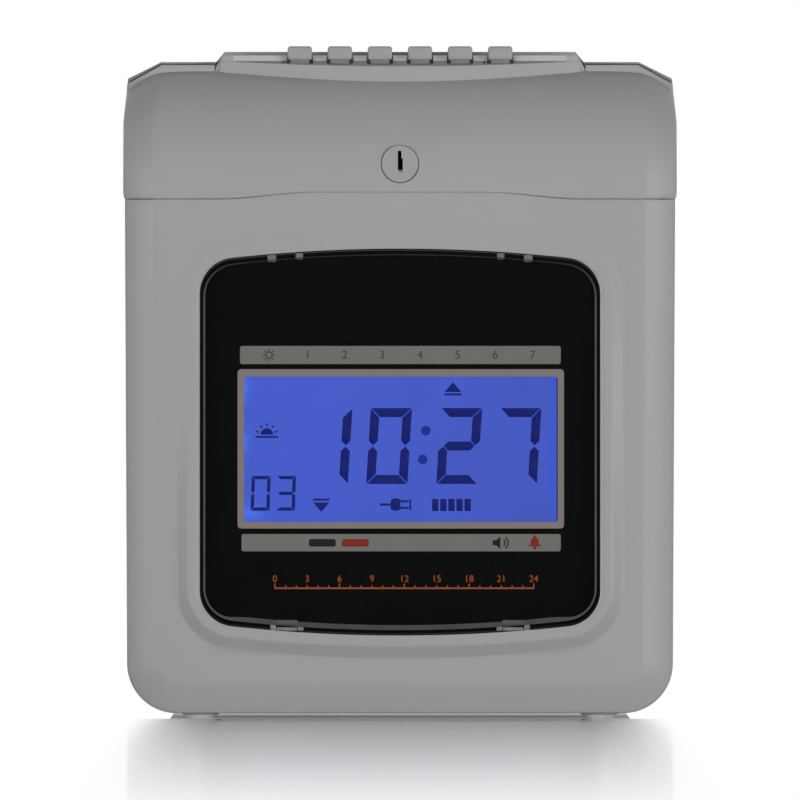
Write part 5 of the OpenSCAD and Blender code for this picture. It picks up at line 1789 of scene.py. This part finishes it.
@dataclass
class DisplayArt:
    """What the display shows and what is printed round it, all plain and generic."""

    print_y: float = CASE.y_face + 2.5
    glass_y: float = float(corner("lcd_panel", False)[1])
    lift: float = 0.05

    def printed(self, name: str, outlines: Sequence[Array], finish: Kit, layer: int = 1) -> None:
        """Lay closed outlines on the mask as a thin print."""
        y0 = self.print_y - self.lift * layer
        piece = polygon_solid(name, outlines, y0, y0 + self.lift * 0.8)
        place(piece, finish, "case")

    def lit(self, name: str, outlines: Sequence[Array], finish: Kit) -> None:
        """Lay closed outlines on the lit glass."""
        y0 = self.glass_y - self.lift
        place(polygon_solid(name, outlines, y0, y0 + self.lift * 0.8), finish, "case")

    def label(self, name: str, words: Sequence[tuple[str, float, float]], size: float,
              finish: Kit, layer: int = 2) -> None:
        """Print plain figures, each centred on a place in the photograph.

        Args:
            name: the piece's name.
            words: the figures with their centres.
            size: their height in millimetres.
            finish: their ink.
            layer: how many prints lie below.
        """
        made = []
        for k, (word, px, py) in enumerate(words):
            curve = bpy.data.curves.new(f"{name}_{k}", "FONT")
            curve.body = word
            curve.align_x, curve.align_y = "CENTER", "CENTER"
            curve.size = size * 1.38 * MM
            curve.extrude = self.lift * 0.4 * MM
            curve.resolution_u = 4
            text = link(f"{name}_{k}", curve)
            bpy.context.view_layer.update()
            depsgraph = bpy.context.evaluated_depsgraph_get()
            mesh = bpy.data.meshes.new_from_object(text.evaluated_get(depsgraph))
            bpy.data.objects.remove(text)
            y = (self.print_y - self.lift * (layer - 0.4)) * MM
            where = Vector((Art.x(px) * MM, y, Art.z(py) * MM))
            mesh.transform(Matrix.Translation(where) @ Matrix.Rotation(math.pi / 2, 4, "X"))
            mesh.materials.clear()
            made.append(link(f"{name}_{k}", mesh))
        place(tidy_mesh(join(name, made), merge=0.0005), finish, "case")

    def digits(self) -> None:
        """The time as figures, the colon, the seconds and the signs on the glass."""
        outlines = []
        for digit, left in zip("1027", (311.0, 370.6, 440.7, 500.0)):
            outlines += seven_segment(digit, Art.x(left) - 1.55, Art.z(408), 41.3 * Art.SCALE,
                                      75.9 * Art.SCALE, 3.25, 3.5, 0.45)
        self.lit("display_hours_minutes", outlines, Kit.DIGIT)
        small = []
        for digit, left in zip("03", (250.7, 276.0)):
            small += seven_segment(digit, Art.x(left), Art.z(475.9), 19.0 * Art.SCALE,
                                   34.8 * Art.SCALE, 1.2, 2.0, 0.25)
        self.lit("display_seconds", small, Kit.DIGIT)
        self.lit("display_colon", [disc(Art.x(426), Art.z(430.6), 1.75),
                                   disc(Art.x(422.9), Art.z(459.5), 1.75)], Kit.FAINT)
        marks = [Art.path([(444.6, 392), (453.2, 382.2), (461.7, 392)]),
                 Art.box(444.6, 393.4, 461.7, 395.4),
                 Art.path([(313.2, 502.4), (321.5, 511.9), (329.7, 502.4)]),
                 Art.box(313.2, 498.6, 329.7, 500.6)]
        marks += [Art.box(432.3 + 8.1 * k, 498.8, 438.6 + 8.1 * k, 511.0, 0.3) for k in range(5)]
        marks += [Art.box(380.2, 503.4, 391.0, 505.6), Art.box(391.0, 498.4, 400.5, 510.6, 1.0),
                  Art.box(400.5, 500.2, 409.0, 502.2), Art.box(400.5, 506.8, 409.0, 508.8),
                  Art.box(409.6, 499.0, 411.4, 510.0)]
        self.lit("display_marks", marks, Kit.DIGIT)
        x, z = Art.x(267), Art.z(434.6)
        half_disc = np.array([self.polar(x, z, 2.3, degrees) for degrees in range(0, 181, 12)])
        self.lit("display_half_sun", [half_disc,
                                      *self.rays(x, z, (3.0, 4.1), range(18, 180, 36), 0.55),
                                      Art.box(255.5, 436.0, 278.5, 437.8)], Kit.DIGIT)

    @staticmethod
    def polar(x: float, z: float, r: float, degrees: float) -> tuple[float, float]:
        """A place at a distance and a bearing from another."""
        return (x + r * math.cos(math.radians(degrees)), z + r * math.sin(math.radians(degrees)))

    @classmethod
    def rays(cls, x: float, z: float, reach: tuple[float, float], bearings: Iterable[int],
             width: float) -> list[Array]:
        """A short bar at each bearing, from one distance from a place to another."""
        return [bar for degrees in bearings
                for bar in stroke([cls.polar(x, z, r, degrees) for r in reach], width)]

    def frame_prints(self) -> None:
        """The pale frame round the glass and the two grey strips."""
        outer = Art.box(237.7, 369.1, 564.2, 528.5, 1.3)
        inner = Art.box(244.3, 376.4, 557.9, 521.9, 1.0)
        place(DisplayWindow.band("display_frame", outer, inner, self.print_y - self.lift,
                                 self.print_y - self.lift * 0.2), Kit.BORDER, "case")
        self.printed("day_strip", [Art.box(240.2, 345.9, 561.0, 364.0, 0.8)], Kit.STRIP)
        self.printed("sign_strip", [Art.box(241.7, 534.0, 561.0, 551.3, 0.8)], Kit.STRIP)

    def strip_signs(self) -> None:
        """Plain numbers for the days, a dial mark, two tabs, a speaker and a bell."""
        days = [(str(k + 1), px, 355.0)
                for k, px in enumerate((308, 345, 382.3, 420.3, 457.9, 495.5, 532.8))]
        self.label("day_numbers", days, 3.1, Kit.LABEL)
        x, z = Art.x(269.2), Art.z(355.0)
        rays = self.rays(x, z, (1.55, 2.2), range(0, 360, 45), 0.5)
        a = np.linspace(0, 2 * math.pi, 33)
        ring = stroke(list(zip(x + 1.15 * np.cos(a), z + 1.15 * np.sin(a))), 0.42)
        self.printed("dial_sign", rays + ring, Kit.LABEL, layer=2)
        self.printed("tab_black", [Art.box(309, 539.0, 336, 546.6, 0.8)], Kit.INK, layer=2)
        self.printed("tab_red", [Art.box(342, 539.0, 369, 546.6, 0.8)], Kit.RED, layer=2)
        speaker = [Art.path([(492.9, 540.2), (496.4, 540.2), (500.6, 536.4), (500.6, 549.0),
                             (496.4, 545.2), (492.9, 545.2)])]
        for r in (1.5, 2.6):
            arc = [self.polar(Art.x(501.2), Art.z(542.7), r, deg) for deg in range(-50, 51, 20)]
            speaker += stroke(arc, 0.5)
        self.printed("speaker_sign", speaker, Kit.INK, layer=2)
        bell = [Art.path([(528.6, 546.4), (530.6, 543.6), (531.4, 539.4), (533.4, 537.4),
                          (536.6, 537.4), (538.6, 539.4), (539.4, 543.6), (541.4, 546.4)]),
                disc(Art.x(535.0), Art.z(547.8), 0.62, 14),
                disc(Art.x(535.0), Art.z(536.6), 0.5, 12)]
        self.printed("bell_sign", bell, Kit.RED, layer=2)

    def scale(self) -> None:
        """A plain scale of 24 hours in orange at the foot of the display."""
        left, right, low = 275.0, 534.0, 588.4
        ticks = [Art.box(left, low - 1.0, right, low + 0.6)]
        for hour in range(25):
            px = left + (right - left) * hour / 24
            tall = 5.0 if hour % 6 == 0 else 3.0
            ticks.append(Art.box(px - 0.6, low - tall, px + 0.6, low))
        self.printed("hour_scale_ticks", ticks, Kit.ORANGE)
        numbers = [(str(hour), left + (right - left) * hour / 24, 579.0)
                   for hour in range(0, 25, 3)]
        self.label("hour_scale_numbers", numbers, 2.5, Kit.ORANGE, layer=1)

    def build(self) -> None:
        """Lay every print and every lit sign."""
        self.frame_prints()
        self.strip_signs()
        self.digits()
        self.scale()


@dataclass
class Feet:
    """Four pale soft feet, flared towards the case, each with a neck that holds it there."""

    r_top: float = 7.15
    flare: float = 1.9
    rise: float = 1.9
    neck_r: float = 3.0

    def build(self) -> None:
        """Turn each foot about its own axis."""
        low, high = span("rubber_feet")
        r, r_top, neck, rise = self.r_top - self.flare, self.r_top, self.neck_r, self.rise
        prof = [(0.02, 0.0), (r - 0.5, 0.0), (r, 0.25), (r + 0.6, 0.9), (r_top - 0.3, rise - 0.15),
                (r_top, rise), (neck, rise), (neck, rise + 2.6), (neck + 0.6, rise + 2.7),
                (neck, high[2]), (0.02, high[2])]
        centres = [(x, y, 0) for x in (low[0] + r_top, high[0] - r_top)
                   for y in (low[1] + r_top, high[1] - r_top)]
        feet = [lathe(f"foot_{k}", prof, centre, "Z", 40) for k, centre in enumerate(centres)]
        place(join("soft_feet", feet), Kit.FOOT, "case", "rubber_feet")


class Mechanism:
    """Everything inside the case, from the record's own bodies."""

    FINISHES = {node: finish for finish, nodes in {
        Kit.BLACK: ("base_plate", "card_sensor", "ribbon_cassette", "carriage", "mains_inlet",
                    "card_funnel", "buzzer"),
        Kit.STEEL: ("platen_bar", "guide_rods", "feed_shaft", "hinge_pins"),
        Kit.RIBBON: ("ribbon",),
        Kit.PALE: ("ribbon_knob", "idler_pulley", "feed_pulley"),
        Kit.MOTOR: ("print_head", "carriage_motor", "feed_motor"),
        Kit.BELT: ("carriage_belt", "feed_belt"),
        Kit.BRASS: ("drive_pulley", "motor_pulley", "inlet_pins"),
        Kit.RUBBER: ("feed_rollers", "pinch_rollers"),
        Kit.IRON: ("transformer",),
        Kit.CELLS: ("battery_pack",),
        Kit.ZINC: ("case_screws",),
        Kit.BLUE_KEY: ("set_key_1", "set_key_2", "set_key_3", "set_key_4"),
    }.items() for node in nodes}
    BOARDS = ("main_board", "display_board", "key_board", "set_key_board")
    MADE = ("front_housing", "hood", "display_lens", "display_mask", "lcd_panel", "backlight",
            "rubber_feet", "lock_barrel", "lock_sleeve", "lock_cam", "rear_housing",
            *(f"column_key_{k}" for k in range(1, KEY_COUNT + 1)))

    def build(self) -> None:
        """Copy, round and paint each remaining node."""
        record = frame["record"]
        body_of = {node: body for body, nodes in record["behaviour"]["bodies"].items()
                   for node in nodes}
        green = board_material()
        for node, body in body_of.items():
            if node in self.MADE:
                continue
            finish = green if node in self.BOARDS else self.FINISHES.get(node, Kit.ZINC)
            rounding = 0.12 if node in ("ribbon", "card_sensor", "inlet_pins") else 0.25
            place(cad_copy(node, rounding), finish, body, node)


@dataclass
class RearHousing:
    """The rear half of the case with its collar, ears, keyholes and vents.

    Attributes:
        gap_x: where the gap beside the slot begins.
        gap_h: height of the strip of painted shadow in it.
        gap_drop: how far the strip lies below its path.
    """

    rounding: float = 0.3
    gap_x: float = 67.0
    gap_h: float = 0.62
    gap_drop: float = 0.25
    gap_d: float = 0.12

    def build(self) -> None:
        """Round the edges of the CAD form and lay a strip of painted shadow in the gap beside the
        slot.
        """
        piece = cad_copy("rear_housing", self.rounding, angle=35.0)
        place(piece, Kit.BACK, "case", "rear_housing")
        strips = []
        for side in Side:
            over = [(self.gap_x, -0.35), (CASE.half_w - 13.6, -0.4), (CASE.half_w - 1.9, -6.75)]
            under = [(x, z - self.gap_h) for x, z in over[::-1]]
            strips.append(np.array([(side.value * x, CASE.z_top + z) for x, z in over + under])
                          - np.array([0.0, self.gap_drop]))
        # a thin dark strip in the gap: painted shadow
        y0 = CASE.y_hood_back + 0.02
        place(polygon_solid("shell_gap_shadow", strips, y0, y0 + self.gap_d), Kit.SLOT, "hood")


@dataclass
class Studio:
    """A white sweep, soft lights and the photograph's camera.

    Attributes:
        camera_far: distance of the camera from the face, mm.
        view_w: width of what it sees at the face, mm.
        under_lift: light of the floor's own, where it holds the object's shadow.
        sheen_reach: how far before the object its reflection reaches, m.
        sheen_half: half the width over which it is whole, m.
        sheen_edge: width over which it then fades, m.
        under_x: half the width of the object's own place on the floor, m.
        under_y: where that place ends behind the object, m.
        world_light: brightness of the world as light.
    """

    # name, place, size, watts, and whether it shows in reflections
    LAMPS = (("key_light", (0.0, -3.0, 0.10), (1.6, 0.9), 34.5, False),
             ("right_light", (2.3, -1.93, 0.12), (0.9, 0.9), 71.0, True),
             ("left_light", (-2.3, -1.93, 0.12), (0.9, 0.9), 52.0, True),
             ("back_light", (0.5, 2.9, 0.40), (1.2, 0.8), 55.0, False))

    camera_far: float = 12000.0
    camera_z: float = 115.0
    view_w: float = 288.8
    sensor: float = 36.0
    floor_tone: float = 0.84
    under_lift: float = 0.145
    sheen_reach: float = 2.95
    sheen_rough: float = 0.098
    sheen_half: float = 0.064
    sheen_edge: float = 0.034
    under_x: float = 0.083
    under_y: float = 0.26
    world_light: float = 0.11

    def floor(self) -> None:
        """A large floor, white to the camera, that keeps the shadow and a faint reflection.

        What the camera sees is lifted to white outside the object's own place; before the
        object a reflection fades out over the reach.
        """
        half, low = 12000.0, -0.02
        points = np.array([(-half, -half, low), (half, -half, low), (half, half, low),
                           (-half, half, low)])
        ground = link_mesh("studio_floor", points, np.array([[0, 1, 2, 3]]), shade=False)
        g = Graph("floor_white")
        t = self.floor_tone
        tone = g.blend(g.noise(900.0, 1.0), (t, t, t, 1), (t * 1.02, t * 1.02, t * 1.02, 1))
        g.surface(Base_Color=tone, Roughness=0.9, Specular_IOR_Level=0.0)
        axes = g.axes()
        seen = g.node("ShaderNodeLightPath").outputs["Is Camera Ray"]
        ahead = g.math("SUBTRACT", CASE.y_front * MM, axes.outputs["Y"])
        before = g.math("GREATER_THAN", ahead, 0.0)
        aside = g.math("ABSOLUTE", axes.outputs["X"])
        beside = g.math("GREATER_THAN", aside, self.under_x)
        behind = g.math("GREATER_THAN", axes.outputs["Y"], self.under_y)
        free = g.math("MAXIMUM", before, g.math("MAXIMUM", beside, behind))
        bright, dim = (g.node("ShaderNodeEmission", Color=WHITE, Strength=strength).outputs[0]
                       for strength in (g.linear(free, 1.0 - self.under_lift, self.under_lift),
                                        g.math("MULTIPLY", seen, self.under_lift)))
        shown = g.join("Mix", g.join("Add", g.shader.outputs[0], dim), bright,
                       g.math("MULTIPLY", seen, free))
        fade = g.math("SUBTRACT", 1.0, g.math("DIVIDE", ahead, self.sheen_reach), clamp=True)
        out_share = g.math("DIVIDE", g.math("SUBTRACT", aside, self.sheen_half), self.sheen_edge,
                           clamp=True)
        edge = g.math("SUBTRACT", 1.0, g.math("MULTIPLY", out_share, out_share))
        share = g.math("MULTIPLY", g.math("MULTIPLY", fade, before), g.math("MULTIPLY", edge, seen))
        sheen = g.node("ShaderNodeBsdfAnisotropic", Color=WHITE, Roughness=self.sheen_rough)
        g.feed(g.tree.nodes["Material Output"].inputs["Surface"],
               g.join("Mix", shown, sheen.outputs[0], share))
        ground.data.materials.append(g.material)
        ground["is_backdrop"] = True

    def world(self) -> None:
        """Plain white for the camera and reflections, dimmer as light."""
        world = bpy.data.worlds.new("studio_world")
        bpy.context.scene.world = world
        world.use_nodes = True
        tree = world.node_tree
        back = tree.nodes["Background"]
        path = tree.nodes.new("ShaderNodeLightPath")
        seen = tree.nodes.new("ShaderNodeMath")
        seen.operation = "MAXIMUM"
        tree.links.new(path.outputs["Is Camera Ray"], seen.inputs[0])
        tree.links.new(path.outputs["Is Glossy Ray"], seen.inputs[1])
        power = tree.nodes.new("ShaderNodeMath")
        power.operation = "MULTIPLY_ADD"
        tree.links.new(seen.outputs[0], power.inputs[0])
        power.inputs[1].default_value = 1 - self.world_light
        power.inputs[2].default_value = self.world_light
        tree.links.new(power.outputs[0], back.inputs["Strength"])
        back.inputs["Color"].default_value = WHITE

    def lamp(self, name: str, where: Sequence[float], size: tuple[float, float],
             watts: float, glossy: bool) -> None:
        """A soft box aimed at the middle of the object, with places in metres."""
        light = bpy.data.lights.new(name, "AREA")
        light.shape = "RECTANGLE"
        light.size, light.size_y = size
        light.energy = watts
        obj = link(name, light)
        obj.visible_glossy = glossy
        obj.location = where
        aim = Vector((0, 0, 0.12)) - Vector(where)
        obj.rotation_euler = aim.to_track_quat("-Z", "Y").to_euler()

    def camera(self) -> None:
        """The photograph's long lens, level with the middle of the object."""
        cam = bpy.data.cameras.new("camera")
        cam.sensor_width = self.sensor
        cam.lens = self.sensor * self.camera_far / self.view_w
        cam.clip_start, cam.clip_end = 0.1, 60.0
        obj = link("camera", cam)
        obj.location = (0.0, (CASE.y_face - self.camera_far) * MM, self.camera_z * MM)
        obj.rotation_euler = (math.pi / 2, 0, 0)
        bpy.context.scene.camera = obj

    def build(self) -> None:
        """Set the stage."""
        bpy.context.scene.view_settings.view_transform = "Standard"
        self.floor()
        self.world()
        for lamp in self.LAMPS:
            self.lamp(*lamp)
        self.camera()


def main() -> None:
    """Build every piece, then the stage."""
    FrontHousing().build()
    hood = Hood()
    hood.build()
    Collar().build(hood)
    ColumnKeys().build()
    Lock().build()
    RearHousing().build()
    DisplayWindow().build()
    DisplayArt().build()
    Feet().build()
    Mechanism().build()
    Studio().build()


if __name__ == "__main__":
    main()
